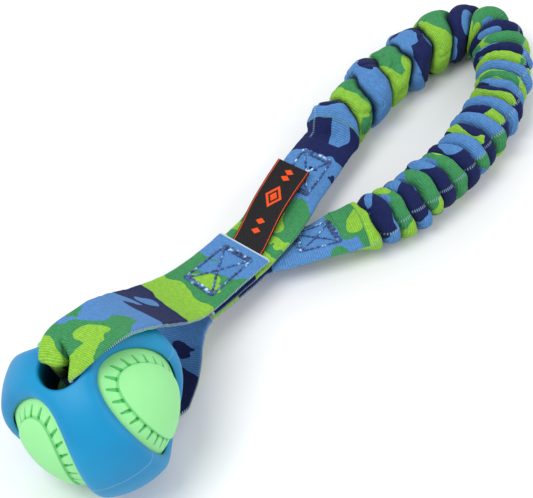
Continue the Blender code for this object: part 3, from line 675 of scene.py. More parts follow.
def weld(verts, faces, attrs=None, tol=1e-4):
    """Merges points that coincide; a quad that loses a corner becomes a triangle."""
    V = np.asarray(verts)
    key = np.round(V / tol).astype(np.int64)
    _, first, inv = np.unique(key, axis=0, return_index=True, return_inverse=True)
    inv = inv.ravel()
    F = inv[np.asarray(faces)]
    whole = (F[:, 0] != F[:, 1]) & (F[:, 1] != F[:, 2]) & (F[:, 2] != F[:, 3]) & (F[:, 3] != F[:, 0])
    out = F[whole].tolist()
    for f in F[~whole].tolist():
        f = [a for k, a in enumerate(f) if a != f[k - 1]]
        if len(set(f)) == 3 and len(f) == 3:
            out.append(f)
    return V[first], out, {k: np.asarray(v)[first] for k, v in (attrs or {}).items()}


def ball_shell():
    n_side, n_top = 72, 56
    lip = [(6.0, 35.0), (4.9, 34.95), (3.9, 34.82), (3.0, 34.58), (2.2, 34.22), (1.5, 33.78),
           (0.95, 33.25), (0.5, 32.65), (0.2, 32.0), (0.04, 31.4), (0.0, SHELL_IN_R)]
    V, F = [], []
    base = 0
    for k in range(3):
        d, w, xy, t = sector(k, n_side, n_top, math.asin((BORE_R + LIP_R) / BALL_R))
        n = len(d)
        span = (np.hypot(*(xy - np.stack([np.cos(t) * TALL, np.sin(t) * WIDE], 1)).T)) * BALL_R
        squeeze = np.minimum(1.0, 0.86 * span / 6.0)

        def edge(mm):
            g = (mm * squeeze / BALL_R)
            return np.stack([np.cos(t) * (TALL + g), np.sin(t) * (WIDE + g)], 1)
        rows = []
        out6 = edge(6.0)
        for f in np.linspace(0, 1, 16)[:-1]:
            rows.append(BALL_C + BALL_R * w.dirs(xy * (1 - f) + out6 * f))
        for mm, r in lip:
            rows.append(BALL_C + r * w.dirs(edge(mm)))
        # back outwards along the inside
        cin = math.asin(COLLAR_OUT_R / SHELL_IN_R)
        th = np.arccos(np.clip(d @ BORE_AXIS, -1, 1))
        ph = np.arctan2(d @ BV, d @ BU)
        e = math.asin((BORE_R + LIP_R) / BALL_R)
        th2 = np.interp(th, [e, math.pi - e], [cin, math.pi - cin])
        dd = sphere_dir(th2, ph)
        xin = w.flat(dd)
        for f in np.linspace(0, 1, 7)[1:]:
            rows.append(BALL_C + SHELL_IN_R * w.dirs(edge(0.0) * (1 - f) + xin * f))
        rows[-1] = BALL_C + SHELL_IN_R * dd
        rows = np.array(rows)
        m = len(rows)
        f_, _, _ = grid_faces(m, n, True, base)
        V.append(rows.reshape(-1, 3)); F.append(f_)
        base += m * n
    # bore: lip, throat and collar at both ends, matching the sectors' columns
    e = math.asin((BORE_R + LIP_R) / BALL_R)
    deep = math.sqrt(BALL_R**2 - BORE_R**2) - COLLAR_DEPTH
    cz = math.sqrt(BALL_R**2 - (BORE_R + LIP_R) ** 2)
    prof = [(BORE_R + LIP_R, cz)]
    for q in np.radians([80, 68, 56, 44, 32, 20, 8, 0]):
        prof.append((BORE_R + LIP_R - LIP_R * math.cos(q), cz - LIP_R + LIP_R * math.sin(q)))
    prof += [(BORE_R, z) for z in np.linspace(cz - LIP_R, deep, 5)[1:]]
    prof += [(BORE_R + 0.5, deep - 0.3), (COLLAR_OUT_R, deep - 0.3)]
    zin = math.sqrt(SHELL_IN_R**2 - COLLAR_OUT_R**2)
    prof += [(COLLAR_OUT_R, z) for z in np.linspace(deep - 0.3, zin, 3)[1:]]
    ph = np.radians(np.concatenate([np.linspace(-60, 60, n_top + 1)[:-1] + 120 * k for k in range(3)]))
    for sign in (1, -1):
        rows = []
        for r, z in prof:
            rows.append(BALL_C + r * (np.cos(ph)[:, None] * BU + np.sin(ph)[:, None] * BV)
                        + sign * z * BORE_AXIS)
        rows = np.array(rows)
        f_, _, _ = grid_faces(len(rows), len(ph), True, base, flip=sign > 0)
        V.append(rows.reshape(-1, 3)); F.append(f_)
        base += rows.shape[0] * rows.shape[1]
    V, F = np.vstack(V), np.vstack(F)
    rel = V - BALL_C
    along = np.abs(rel @ BORE_AXIS)
    off = np.linalg.norm(rel - (rel @ BORE_AXIS)[:, None] * BORE_AXIS, axis=1)
    # painted shade: deep marks the inside of the bore for darkening
    deep = smooth((33.4 - along) / 7.0) * (off < COLLAR_OUT_R - 0.5)
    seam = np.exp(-(np.abs(rel @ BORE_AXIS) / 0.16) ** 2) * smooth((np.linalg.norm(rel, axis=1) - 34.0) / 0.5)
    V, F, at = weld(V + seam[:, None] * rows_unit(rel) * 0.10, F, {"deep": deep})
    return mesh_object("shell_rubber", V, F, [M_SHELL], attrs=at)


def ball_core():
    n_side, n_top = 168, 112
    V, F, G = [], [], []
    base = 0
    for k in range(3):
        d, w, xy, t = sector(k, n_side, n_top, math.asin(CORE_MOUTH / BALL_R))
        n = len(d)
        E = np.stack([np.cos(t) * TALL, np.sin(t) * WIDE], 1)
        D = np.stack([np.cos(t) * DISC_TALL, np.sin(t) * DISC_WIDE], 1)
        # ticks evenly spaced round the middle of the border zone
        mid = (E + D) / 2 * CORE_R
        ring = arc_length(np.vstack([mid, mid[:1]]))
        ticks = 25
        ph = ring[:-1] / ring[-1] * ticks + 0.35
        off = (ph - np.round(ph)) * ring[-1] / ticks       # mm from the nearest tick
        rows, gr = [], []
        for f in np.linspace(0, 1, 6)[:-1]:
            rows.append(BALL_C + CORE_R * w.dirs(xy * (1 - f) + E * 1.02 * f)); gr.append(np.zeros(n))
        width = np.hypot(*(E - D).T) * CORE_R            # border width, mm
        for f in np.concatenate([np.linspace(0, 0.80, 26), np.linspace(0.82, 1.0, 12)]):
            x = E * (1 - f) + D * f
            r = np.full(n, CORE_R - 0.45)
            # a shallow moat just outside the raised disc
            moat = np.exp(-(((1 - f) * width - 0.55) / 0.45) ** 2)
            r = r - 0.22 * moat
            # ticks: narrow at their outer end, wider towards the disc
            along = smooth((f - 0.30) / 0.05) * smooth((0.97 - f) / 0.04)
            half = 0.26 + 0.62 * np.clip((f - 0.30) / 0.6, 0, 1)
            cut = smooth((half + 0.22 - np.abs(off)) / 0.30) * along
            r = r - 0.75 * cut
            rise = smooth((f - 0.965) / 0.035)
            r = r + 0.62 * rise * (1 - cut * 0)
            rows.append(BALL_C + r[:, None] * w.dirs(x))
            # the second list is painted shade: darker in the ticks, the moat and at the disc's step
            gr.append(np.clip(cut * 0.75 + moat * 0.35 + 0.25 * (1 - np.abs(2 * rise - 1)), 0, 1))
        for f in np.concatenate([[0.99, 0.975, 0.95, 0.9], np.linspace(0.83, 0.0, 14)]):
            g = min(1.0, (1 - f) / 0.05)
            r = CORE_R - 0.45 + 0.62 + 0.16 * (1 - (1 - g) ** 2)
            rows.append(BALL_C + r * w.dirs(D * max(f, 1e-4))); gr.append(np.zeros(n))
        rows = np.array(rows)
        m = len(rows)
        f_, _, _ = grid_faces(m, n, True, base)
        V.append(rows.reshape(-1, 3)); F.append(f_); G.append(np.concatenate(gr))
        base += m * n
    # inside: mouth step and bore
    e = math.asin(CORE_MOUTH / BALL_R)
    deep = math.sqrt(BALL_R**2 - BORE_R**2) - COLLAR_DEPTH - GAP - 0.3
    cro = COLLAR_OUT_R + GAP
    ph = np.radians(np.concatenate([np.linspace(-60, 60, n_top + 1)[:-1] + 120 * k for k in range(3)]))
    r0, z0 = CORE_R * math.sin(e), CORE_R * math.cos(e)
    half = [(r0, z0), (cro, math.sqrt(CORE_R**2 - cro**2)), (cro, deep), (BORE_R + GAP, deep)]
    prof = half + [(BORE_R + GAP, z) for z in np.linspace(deep, -deep, 12)[1:-1]] + [(r, -z) for r, z in half[::-1]]
    rows = np.array([BALL_C + r * (np.cos(ph)[:, None] * BU + np.sin(ph)[:, None] * BV) + z * BORE_AXIS
                     for r, z in prof])
    f_, _, _ = grid_faces(len(rows), len(ph), True, base, flip=True)
    V.append(rows.reshape(-1, 3)); F.append(f_); G.append(np.zeros(rows.shape[0] * rows.shape[1]))
    V, F, at = weld(np.vstack(V), np.vstack(F), {"groove_shade": np.concatenate(G)})
    return mesh_object("core_rubber", V, F, [M_CORE], attrs=at)


# ------------------------------------------------------------------ webbing
def flat_section(half, thick, n):
    """n points evenly round a flattened tube, from (-half, 0) over the outer face."""
    r = thick / 2
    L = 2 * (half - r)
    quarter = math.pi * r / 2
    total = 2 * L + 4 * quarter
    q = np.arange(n) / n * total
    x, y = np.zeros(n), np.zeros(n)
    a = q < quarter
    ang = q[a] / r
    x[a], y[a] = -half + r - r * np.cos(ang), r * np.sin(ang)
    b = (q >= quarter) & (q < quarter + L)
    x[b], y[b] = -half + r + (q[b] - quarter), r
    c = (q >= quarter + L) & (q < 3 * quarter + L)
    ang = (q[c] - quarter - L) / r
    x[c], y[c] = half - r + r * np.sin(ang), r * np.cos(ang)
    d = (q >= 3 * quarter + L) & (q < 3 * quarter + 2 * L)
    x[d], y[d] = half - r - (q[d] - 3 * quarter - L), -r
    e = q >= 3 * quarter + 2 * L
    ang = (q[e] - 3 * quarter - 2 * L) / r
    x[e], y[e] = -half + r - r * np.sin(ang), -r * np.cos(ang)
    return x, y


def folded(x, y, near, far, top):
    """Rolls both halves of a section up by near and far (0..1): x is the
    distance across the webbing, y off its middle. Returns the new x, y."""
    g = np.linspace(-STRAP_W / 2, STRAP_W / 2, 201)
    reach = smooth((np.abs(g) - 1.2) / 9.0)
    psi = np.where(g > 0, near, far) * top * reach * np.sign(g)
    dx, dy = np.cos(psi), np.sin(psi)
    step = g[1] - g[0]
    X = np.concatenate([[0], np.cumsum((dx[1:] + dx[:-1]) / 2 * step)])
    Y = np.concatenate([[0], np.cumsum((dy[1:] + dy[:-1]) / 2 * step)])
    X -= np.interp(0, g, X); Y -= np.interp(0, g, Y)
    a = np.interp(x, g, X); b = np.interp(x, g, Y); p = np.interp(x, g, psi)
    return a - y * np.sin(np.abs(p)) * np.sign(p), b + y * np.cos(p)


def ribbon(name, route, s, u0, half, thick, mat, n=136, shape=None, flip_u=1.0, ends=(True, True), wave=0.0, seed=1,
           mirror=False):
    """High-resolution flattened tube along a route."""
    P, W, N = route.frames(s)
    m = len(s)
    half = np.broadcast_to(np.asarray(half, float), (m,))
    thick = np.broadcast_to(np.asarray(thick, float), (m,))
    V = np.zeros((m, n, 3))
    for i in range(m):
        x, y = flat_section(half[i], thick[i], n)
        if wave:
            edge = smooth((np.abs(x) / half[i] - 0.5) / 0.5)
            x = x + np.sign(x) * edge * 0.10 * noise(s[i] / 2.1, np.sign(x) * 3.3, 0, seed)
            y = y + wave * (noise(s[i] / 13.0, x / 9.0, 0.5, seed) * 0.6 * edge
                            + 0.25 * noise(s[i] / 5.0, x / 4.0, 1.5, seed + 5) * edge)
        if shape is not None:
            x, y = shape(i, s[i], x, y)
        V[i] = P[i] + x[:, None] * W[i] + y[:, None] * N[i]
    f, rows, cols = grid_faces(m, n, True)
    u = (u0 + flip_u * s) / 100.0
    vv = np.arange(n + 1) / n * 0.5
    if mirror:
        vv = np.where(vv <= 0.25, 0.25 - vv, 0.75 - vv)
        uvv = vv[cols]
        # the column that wraps keeps its side
        wrap = (cols == n)
        uvv = np.where(wrap, 0.25, uvv)
        mid = (cols == n // 2)
        own = np.where(mid & (cols.min(1, keepdims=True) >= n // 2), 0.5, uvv)
        uvv = own
    else:
        uvv = vv[cols]
    uv = np.stack([u[rows], uvv], -1).reshape(-1, 2)
    faces = f.tolist()
    uvs = uv.tolist()
    fm = [0] * len(faces)
    V = V.reshape(-1, 3)
    extra = []
    for k, end in enumerate(ends):
        if not end:
            continue
        b = 0 if k == 0 else (m - 1) * n
        # joins outer and inner face straight across the mouth
        h = n // 2
        for j in range(h):
            a1, a2 = b + j, b + (j + 1) % n
            c1, c2 = b + (n - j) % n, b + n - j - 1
            q = [a1, a2, c2, c1] if k == 1 else [a1, c1, c2, a2]
            if len(set(q)) < 4:
                q = list(dict.fromkeys(q))
            faces.append(q)
            uvs += [[0.0, 0.1]] * len(q)
            fm.append(1)
    return mesh_object(name, V, faces, [mat, M_CUT], uv=uvs, face_mat=fm)


# where the webbing turns down into the ball: control points across it, from the
# far edge to the near one, on the brow, on the hood and on the crest of the turn
MOUTH_V = [-12.5, -8.5, -5.6, -4.4, -3.6, -1.0, 2.0, 5.0, 8.0, 10.5, 12.5]
BROW = [
    (-1.9, 16.4, 71.0), (-4.1, 12.8, 71.5), (-4.7, 10.8, 71.4), (-4.9, 9.9, 71.3),
    (-5.0, 9.2, 71.4), (-5.0, 6.6, 72.1), (-5.2, 3.3, 72.7), (-5.7, 0.2, 72.9),
    (-5.9, -3.1, 72.7), (-6.3, -5.6, 72.3), (-5.1, -6.5, 72.3),
]
HOOD = [
    (-8.3, 16.0, 69.8), (-9.5, 11.3, 71.6), (-9.1, 8.2, 71.2), (-7.3, 7.8, 69.0),
    (-5.1, 9.4, 71.1), (-5.6, 6.8, 71.6), (-6.5, 4.1, 72.0), (-7.7, 1.4, 71.9),
    (-9.6, -1.2, 71.1), (-11.4, -2.9, 70.2), (-12.4, -4.3, 69.1),
]
CREST = [
    (-13.4, 13.6, 67.0), (-13.9, 8.5, 69.6), (-12.0, 5.2, 69.4), (-9.1, 4.7, 67.0),
    (-5.3, 9.1, 70.7), (-6.0, 6.8, 71.3), (-7.2, 4.3, 71.4), (-8.8, 1.7, 71.2),
    (-10.9, -0.1, 70.5), (-13.2, -1.4, 69.3), (-15.7, -2.9, 67.7),
]
OVER_BALL = FRONT_LEG[:-2] + [(8.7, 1.7, 72.8, -8, 0), (2.0, 3.0, 73.7, -9, 0), (-4.1, 5.5, 70.9, -2, 0)]


def centripetal(C, n):
    """n points evenly along a curve through the control points C[1:-1]; C is (k, v, 3)."""
    out = []
    for j in range(C.shape[1]):
        c = C[:, j]
        d = np.sqrt(np.maximum(np.linalg.norm(np.diff(c, axis=0), axis=1), 0.05))
        t = np.concatenate([[0], np.cumsum(d)])
        pts = []
        for k in range(1, len(c) - 2):
            q = np.linspace(t[k], t[k + 1], 14, endpoint=k == len(c) - 3)[:, None]
            a1 = ((t[k] - q) * c[k - 1] + (q - t[k - 1]) * c[k]) / (t[k] - t[k - 1])
            a2 = ((t[k + 1] - q) * c[k] + (q - t[k]) * c[k + 1]) / (t[k + 1] - t[k])
            a3 = ((t[k + 2] - q) * c[k + 1] + (q - t[k + 1]) * c[k + 2]) / (t[k + 2] - t[k + 1])
            b1 = ((t[k + 1] - q) * a1 + (q - t[k - 1]) * a2) / (t[k + 1] - t[k - 1])
            b2 = ((t[k + 2] - q) * a2 + (q - t[k]) * a3) / (t[k + 2] - t[k])
            pts.append(((t[k + 1] - q) * b1 + (q - t[k]) * b2) / (t[k + 1] - t[k]))
        pts = np.vstack(pts)
        L = arc_length(pts)
        out.append(lerp_rows(np.linspace(0, L[-1], n), L, pts))
    return np.array(out).transpose(1, 0, 2)


def strap_main():
    """Front leg, tucked mouth, bore run and rear leg in one unbroken ribbon."""
    L = LOOP_ROUTE
    n = 176
    P, W, c = route_from(OVER_BALL, 160)
    over = Route(P, W, c)
    s_a = over.s_at_x(15.7)
    s_bore = L.s[I_TOP] + 12.0
    s_low = L.s[I_LOW]
    sec_x, sec_y = flat_section(STRAP_W / 2, STRAP_T, n)

    def rolled(s, x, y):
        P, W, N = L.frames(np.array([s], float))
        a, b = folded(x, y, 1.0, 1.0, math.radians(186))
        return P[0] + a[:, None] * W[0] + b[:, None] * N[0]

    # flat over the ball
    rows, us = [], []
    for s in np.arange(0, s_a, 0.8):
        P, W, N = over.frames(np.array([s], float))
        edge = smooth((np.abs(sec_x) / 12.5 - 0.5) / 0.5)
        x = sec_x + np.sign(sec_x) * edge * 0.10 * noise(s / 2.1, np.sign(sec_x) * 3.3, 0, 3)
        y = sec_y + 0.4 * smooth((s - 30) / 10.0) * (
            noise(s / 13.0, sec_x / 9.0, 0.5, 3) * 0.6 * edge + 0.25 * noise(s / 5.0, sec_x / 4.0, 1.5, 8) * edge)
        rows.append(P[0] + x[:, None] * W[0] + y[:, None] * N[0])
        us.append(np.full(n, s))
    # the mouth
    vs = np.linspace(-12.5, 12.5, 101)
    flat_at = lambda s: np.array([over.at(s, v) for v in vs])
    table = lambda tab: np.column_stack([pchip(np.array(MOUTH_V), np.array(tab), vs)])
    brow, hood, crest = table(BROW), table(HOOD), table(CREST)
    t = rows_unit(crest - hood)
    out = rows_unit(crest - BALL_C)
    out = rows_unit(out - (out * t).sum(1)[:, None] * t)
    rel = crest - BALL_C
    aside = rel - (rel @ BORE_AXIS)[:, None] * BORE_AXIS
    aside = rows_unit(aside) * np.minimum(np.linalg.norm(aside, axis=1), 6.4)[:, None]
    g1, g2, g3 = (rolled(s_bore + d, vs, 0 * vs) for d in (-4.0, 0.0, 4.0))
    wall = BALL_C + 27.0 * BORE_AXIS + 0.55 * aside + 0.45 * (g1 - BALL_C - ((g1 - BALL_C) @ BORE_AXIS)[:, None] * BORE_AXIS)
    C = np.array([
        flat_at(s_a - 5), flat_at(s_a), flat_at(over.s_at_x(8.7)), brow, hood, crest,
        crest + 0.75 * t - 1.35 * out, crest - 0.5 * t - 2.6 * out, wall, g1, g2, g3])
    m = 150
    M = centripetal(C, m)
    for _ in range(2):
        M[1:-1] = (M[:-2] + 2 * M[1:-1] + M[2:]) / 4
    Tj = np.gradient(M, axis=0)
    Tv = np.gradient(M, axis=1)
    for _ in range(3):
        Tv[:, 1:-1] = (Tv[:, :-2] + 2 * Tv[:, 1:-1] + Tv[:, 2:]) / 4
    N = rows_unit(np.cross(Tj, Tv))
    du = np.linalg.norm(np.diff(M, axis=0), axis=2)
    U = s_a + np.concatenate([np.zeros((1, len(vs))), np.cumsum(du, axis=0)])
    for j in range(m):
        p = lerp_rows(sec_x, vs, M[j])
        q = rows_unit(lerp_rows(sec_x, vs, N[j]))
        rows.append(p + sec_y[:, None] * q)
        us.append(np.interp(sec_x, vs, U[j]))
    last = us[-1]
    # down the bore, out of the lower hole and up to the join
    for s in np.append(np.arange(s_bore + 0.7, L.length - 0.01, 0.7), L.length):
        g = float(smooth((s - (s_low - 24)) / 18.0))
        roll = rolled(s, sec_x, sec_y) if g < 1 else 0
        if g > 0:
            f = 1.0 if s < s_low else float(np.interp(s, L.s, L.fold))
            P, W, Nn = L.frames(np.array([s], float))
            x, y = flat_section(12.5 + (FOLD_HALF - 12.5) * f, STRAP_T + (FOLD_T - STRAP_T) * f, n)
            pleat = 0.45 * f * np.cos(x / 12.5 * 9.0) * (np.abs(x) < 5.0)
            y = y + np.sign(y) * pleat * 0.6
            flat = P[0] + x[:, None] * W[0] + y[:, None] * Nn[0]
            roll = roll * (1 - g) + flat * g
        rows.append(roll)
        w = float(smooth((s - s_bore) / 30.0))
        us.append(last * (1 - w) + last.mean() * w + (s - s_bore))
    V = np.array(rows)
    m = len(V)
    f, ri, ci = grid_faces(m, n, True)
    vv = np.arange(n + 1) / n * 0.5
    Ua = np.array(us) / 100.0
    Ua = np.hstack([Ua, Ua[:, :1]])
    uv = np.stack([Ua[ri, ci], vv[ci]], -1).reshape(-1, 2).tolist()
    faces, fm = f.tolist(), [0] * len(f)
    for b, fl in ((0, True), ((m - 1) * n, False)):
        for j in range(n // 2):
            q = [b + j, b + j + 1, b + n - j - 1, b + (n - j) % n]
            q = list(dict.fromkeys(q))
            faces.append(q[::-1] if fl else q)
            uv += [[0.0, 0.1]] * len(q)
            fm.append(1)
    # painted shade: deep darkens the webbing inside the bore, and below, the rear leg
    rel = V.reshape(-1, 3) - BALL_C
    along = rel @ BORE_AXIS
    off = np.linalg.norm(rel - along[:, None] * BORE_AXIS, axis=1)
    deep = smooth((34.3 - np.abs(along)) / 6.0) * (off < 10.5)
    # the rear leg lies in the deep shade of the ball and the front leg
    low = np.arange(len(deep)) // n
    s_row = np.interp(low, [0, m - 1], [0, 1])
    x_row = V[:, :, 0].mean(1)[low]
    deep = np.maximum(deep, 0.38 * (s_row > 0.6) * smooth((62 - x_row) / 14.0) * (off > 10.5))
    return mesh_object("strap", V.reshape(-1, 3), faces, [M_WEB, M_CUT], uv=uv, face_mat=fm, attrs={"deep": deep})


def tail(name, route, pocket_len, mat, u_end, mirror):
    """Flat webbing from under the join to the sleeve's mouth; the sewn end of
    the elastic makes it thicker there and the stitching draws it in."""
    Lr = route.length
    s = np.concatenate([np.arange(0, Lr - 0.01, 0.8), [Lr]])
    sp = Lr - pocket_len
    f = smooth((s - (sp - 8)) / 12)
    thick = STRAP_T + f * 2.4
    half = STRAP_W / 2 - 1.3 * smooth((s - (sp - 6)) / 14)
    P, W, N = route.frames(s)

    def shape(i, si, x, y):
        # fuller in the middle where the elastic lies, thin at both edges
        k = f[i]
        t = thick[i] / 2
        prof = 1 - 0.5 * k * smooth((np.abs(x) / half[i] - 0.55) / 0.4)
        return x, y * prof
    if mirror:
        return ribbon(name, route, s, u_end + Lr, half, thick, mat, shape=shape, flip_u=-1.0,
                      wave=0.35, seed=11, mirror=True)
    return ribbon(name, route, s, u_end - Lr, half, thick, mat, shape=shape, wave=0.35, seed=17)


# ------------------------------------------------------------------ gathered sleeve
def sleeve():
    n = 144
    s = np.arange(0.0, TOTAL, 0.42)
    s = np.append(s, TOTAL)
    m = len(s)
    P = lerp_rows(s, TS, TUBE)
    T = rows_unit(lerp_rows(s, TS, TT))
    side = rows_unit(np.cross(UP, T))
    e = smooth(np.minimum(s, TOTAL - s) / 15.0)
    # pitch of the gathers: fat crescents on the rear strand, thin pleats at the
    # far bend, loose puffs on the front strand
    key = np.array([0, 12, 20, 90, 118, 150, 172, 192, 215, 235, 345]) * TOTAL / 345
    pit = np.array([13.0, 12.0, 7.2, 7.0, 6.2, 5.2, 5.4, 7.0, 11.0, 13.5, 14.5])
    pitch = np.interp(s, key, pit)
    turns = np.concatenate([[0], np.cumsum(np.diff(s) / ((pitch[1:] + pitch[:-1]) / 2))])
    lead = np.interp(s, [0, 0.35 * TOTAL, 0.5 * TOTAL, 0.65 * TOTAL, TOTAL], [1.8, 1.5, 0, -3.5, -4.5]) / pitch
    th = math.pi - 2 * math.pi * np.arange(n) / n        # from (-1, 0) over the top
    S, TH = np.meshgrid(s, th, indexing="ij")
    cx, cy = np.cos(TH), np.sin(TH)
    E = e[:, None]
    PIT = np.broadcast_to(pitch[:, None], S.shape)
    # each fold runs a little aslant and wanders round the tube
    wob = (1.5 + 1.3 * smooth((S - 0.66 * TOTAL) / 30.0)) * noise(S / 30.0, cx * 1.3 + 5, cy * 1.3, 21) + 0.5 * noise(S / 9.0, cx * 2.4, cy * 2.4 + 9, 22)
    PH = turns[:, None] + lead[:, None] * cx + 0.12 * cy + wob / PIT
    k = np.floor(PH)
    q = 2 * (PH - k) - 1
    lobe = np.clip(1 - np.abs(q) ** 2.6, 0, 1) ** 0.5
    # each fold has its own height, round the tube
    a1, a2 = hash3(k, 3, 1, 5), hash3(k, 7, 2, 6) * 2 * math.pi
    a3 = hash3(k, 1, 9, 8) * 2 * math.pi
    tall = 0.84 + 0.20 * a1 + 0.15 * np.cos(TH - a2) + 0.07 * np.cos(2 * TH + a3)
    # on the loose front strand every other puff is the bigger one
    loose = smooth((S - 0.66 * TOTAL) / (0.1 * TOTAL))
    tall = tall + loose * (0.13 * np.cos(math.pi * k) - 0.03)
    r_valley = 6.2 - 0.2 * (7 - PIT).clip(0) + 0.10 * (PIT - 7).clip(0)
    r_crest = 12.2 + 0.06 * (PIT - 7)
    R = r_valley + (r_crest - r_valley) * lobe * np.clip(tall, 0.5, 1.12)
    # soft dents and small creases, deeper on the loose strand
    R = R + (0.35 + 0.75 * loose) * noise(S / 5.0, cx * 2.2, cy * 2.2, 31) * lobe
    crease = np.exp(-(noise(S / 9.0 + 7, cx * 1.6, cy * 1.6, 51) / 0.07) ** 2)
    R = R - (0.35 + 0.45 * loose) * crease * lobe
    R = R + 0.07 * noise(S / 1.6, cx * 7, cy * 7, 33)
    lean = (0.27 + 0.10 * noise(k * 1.7, cx * 1.2, cy * 1.2, 41)) * np.minimum(PIT, 9.0)
    push = lean * lobe * E - lean * 0.5 * E
    # every fold shows its own part of the print
    apart = (0.37 * k + 0.12 * a1) * REPEAT * (s > 7.0)[:, None] * (s < TOTAL - 9.0)[:, None]
    apart = apart + 0.13 * (s >= TOTAL - 9.0)[:, None]
    # flat mouth, opening into the round tube
    V = np.zeros((m, n, 3))
    for i in range(m):
        if e[i] < 1:
            half = STRAP_W / 2 - 1.3
            x0, y0 = flat_section(half, STRAP_T + 2.4, n)
            prof = 1 - 0.5 * smooth((np.abs(x0) / half - 0.55) / 0.4)
            y0 = y0 * prof
            fx, fy = x0 * (1 - e[i]) + R[i] * cx[i] * e[i], y0 * (1 - e[i]) + R[i] * cy[i] * e[i]
        else:
            fx, fy = R[i] * cx[i], R[i] * cy[i]
        V[i] = P[i] + fx[:, None] * side[i] + fy[:, None] * UP + push[i][:, None] * T[i]
        if i in (0, m - 1):
            # its two mouths lap over the tails
            V[i] = V[i] + np.sign(fy)[:, None] * 0.14 * UP + (1.3 if i else -1.3) * T[i]
    # it rests on the floor: the underside is pressed flat
    z = V[..., 2]
    V[..., 2] = np.where(z < 1.6, 0.15 + 1.45 * np.exp((z - 1.6) / 1.45), z)
    # cloth length along the middle of the visible side
    seg = np.linalg.norm(np.diff(V, axis=0), axis=2)
    u = np.concatenate([[0], np.cumsum(np.median(seg, axis=1))])
    f, rows, cols = grid_faces(m, n, True)
    # the flat tube's two edges turn up the side along the rear strand
    twist = 0.048 * smooth(s / 30.0) - 0.0 * s
    vv = np.arange(n + 1) / n * 0.5
    vfull = vv[cols] - twist[rows]
    lo = vfull.min(1, keepdims=True)
    vfull = np.where(lo < -1e-6, vfull + 0.5, vfull)
    uv = np.stack([u[rows] / 100.0, vfull], -1).reshape(-1, 2)
    # painted shade in the valleys between the folds
    valley_shade = smooth((0.84 - lobe) / 0.62) * E
    ob = mesh_object("gathered_sleeve", V.reshape(-1, 3), f, [M_SLEEVE], uv=uv,
                     attrs={"valley_shade": valley_shade.ravel(), "apart": apart.ravel()})
    return ob, u[-1]


def elastic():
    n = 28
    half_pocket, t_pocket = 6.6, 1.2
    s = np.linspace(0.4, TOTAL - 0.4, 300)
    P = lerp_rows(s, TS, TUBE)
    T = rows_unit(lerp_rows(s, TS, TT))
    side = rows_unit(np.cross(UP, T))
    e = smooth(np.minimum(s, TOTAL - s) / 16.0)
    th = math.pi - 2 * math.pi * np.arange(n) / n
    a = half_pocket + (CORE_CORD_R - half_pocket) * e
    b = t_pocket / 2 + (CORE_CORD_R - t_pocket / 2) * e
    V = (P[:, None] + (a[:, None] * np.cos(th))[..., None] * side[:, None]
         + (b[:, None] * np.sin(th))[..., None] * UP)
    f, rows, cols = grid_faces(len(s), n, True)
    uv = np.stack([s[rows] / 100, cols / n * 0.32], -1).reshape(-1, 2).tolist()
    faces = f.tolist()
    for b_, fl in ((0, False), ((len(s) - 1) * n, True)):
        ring = [b_ + j for j in range(n)]
        faces.append(ring if fl else ring[::-1])
        uv += [[0.0, 0.0]] * n
    return mesh_object("elastic_core", V.reshape(-1, 3), faces, [M_ELASTIC], uv=uv)


# ------------------------------------------------------------------ stitching
def stitch_rows(name, where, rows, pitch=2.3, radius=0.30):
    """Lock stitches along rows of (s, v) corner points. where(s, v, h) gives a point."""
    V, F = [], []
    ring = 7
    for row in rows:
        row = np.asarray(row, float)
        L = arc_length(row)
        count = max(1, int(round(L[-1] / pitch)))
        for c in range(count):
            q = (np.linspace(0.04, 0.96, 9) + c) / count * L[-1]
            sv = lerp_rows(q, L, row)
            t = np.linspace(0, 1, 9)
            h = -0.42 + 0.72 * np.sin(math.pi * t) ** 0.55
            line = np.array([where(a, b, hh) for (a, b), hh in zip(sv, h)])
            nrm = unit(where(sv[4][0], sv[4][1], 1.0) - where(sv[4][0], sv[4][1], 0.0))
            tan = np.gradient(line, axis=0)
            rad = radius * (0.55 + 0.45 * np.sin(math.pi * t) ** 0.5)
            base = len(V)
            for p, g, rr in zip(line, tan, rad):
                g = unit(g)
                w = unit(np.cross(g, nrm))
                o = np.cross(w, g)
                for j in range(ring):
                    a = 2 * math.pi * j / ring
                    V.append(p + rr * (math.cos(a) * w * 1.15 + math.sin(a) * o))
            for i in range(8):
                for j in range(ring):
                    a, b = base + i * ring + j, base + i * ring + (j + 1) % ring
                    F.append([a, b, b + ring, a + ring])
            F.append([base + j for j in range(ring)][::-1])
            F.append([base + 8 * ring + j for j in range(ring)])
    return mesh_object(name, V, F, [M_THREAD])


def box_x_rows(s_mid, v_mid, length, width):
    hx, hy = length / 2, width / 2
    c = [(s_mid - hx, v_mid - hy), (s_mid + hx, v_mid - hy), (s_mid + hx, v_mid + hy), (s_mid - hx, v_mid + hy)]
    rows = [[c[0], c[1]], [c[2], c[3]], [c[0], c[2]], [c[1], c[3]]]
    bars = []
    for g in (0.0, 0.9, 1.8):     # the short ends are sewn three times
        bars.append([(c[1][0] - g, c[1][1]), (c[2][0] - g, c[2][1])])
        bars.append([(c[3][0] + g, c[3][1]), (c[0][0] + g, c[0][1])])
    return rows + bars


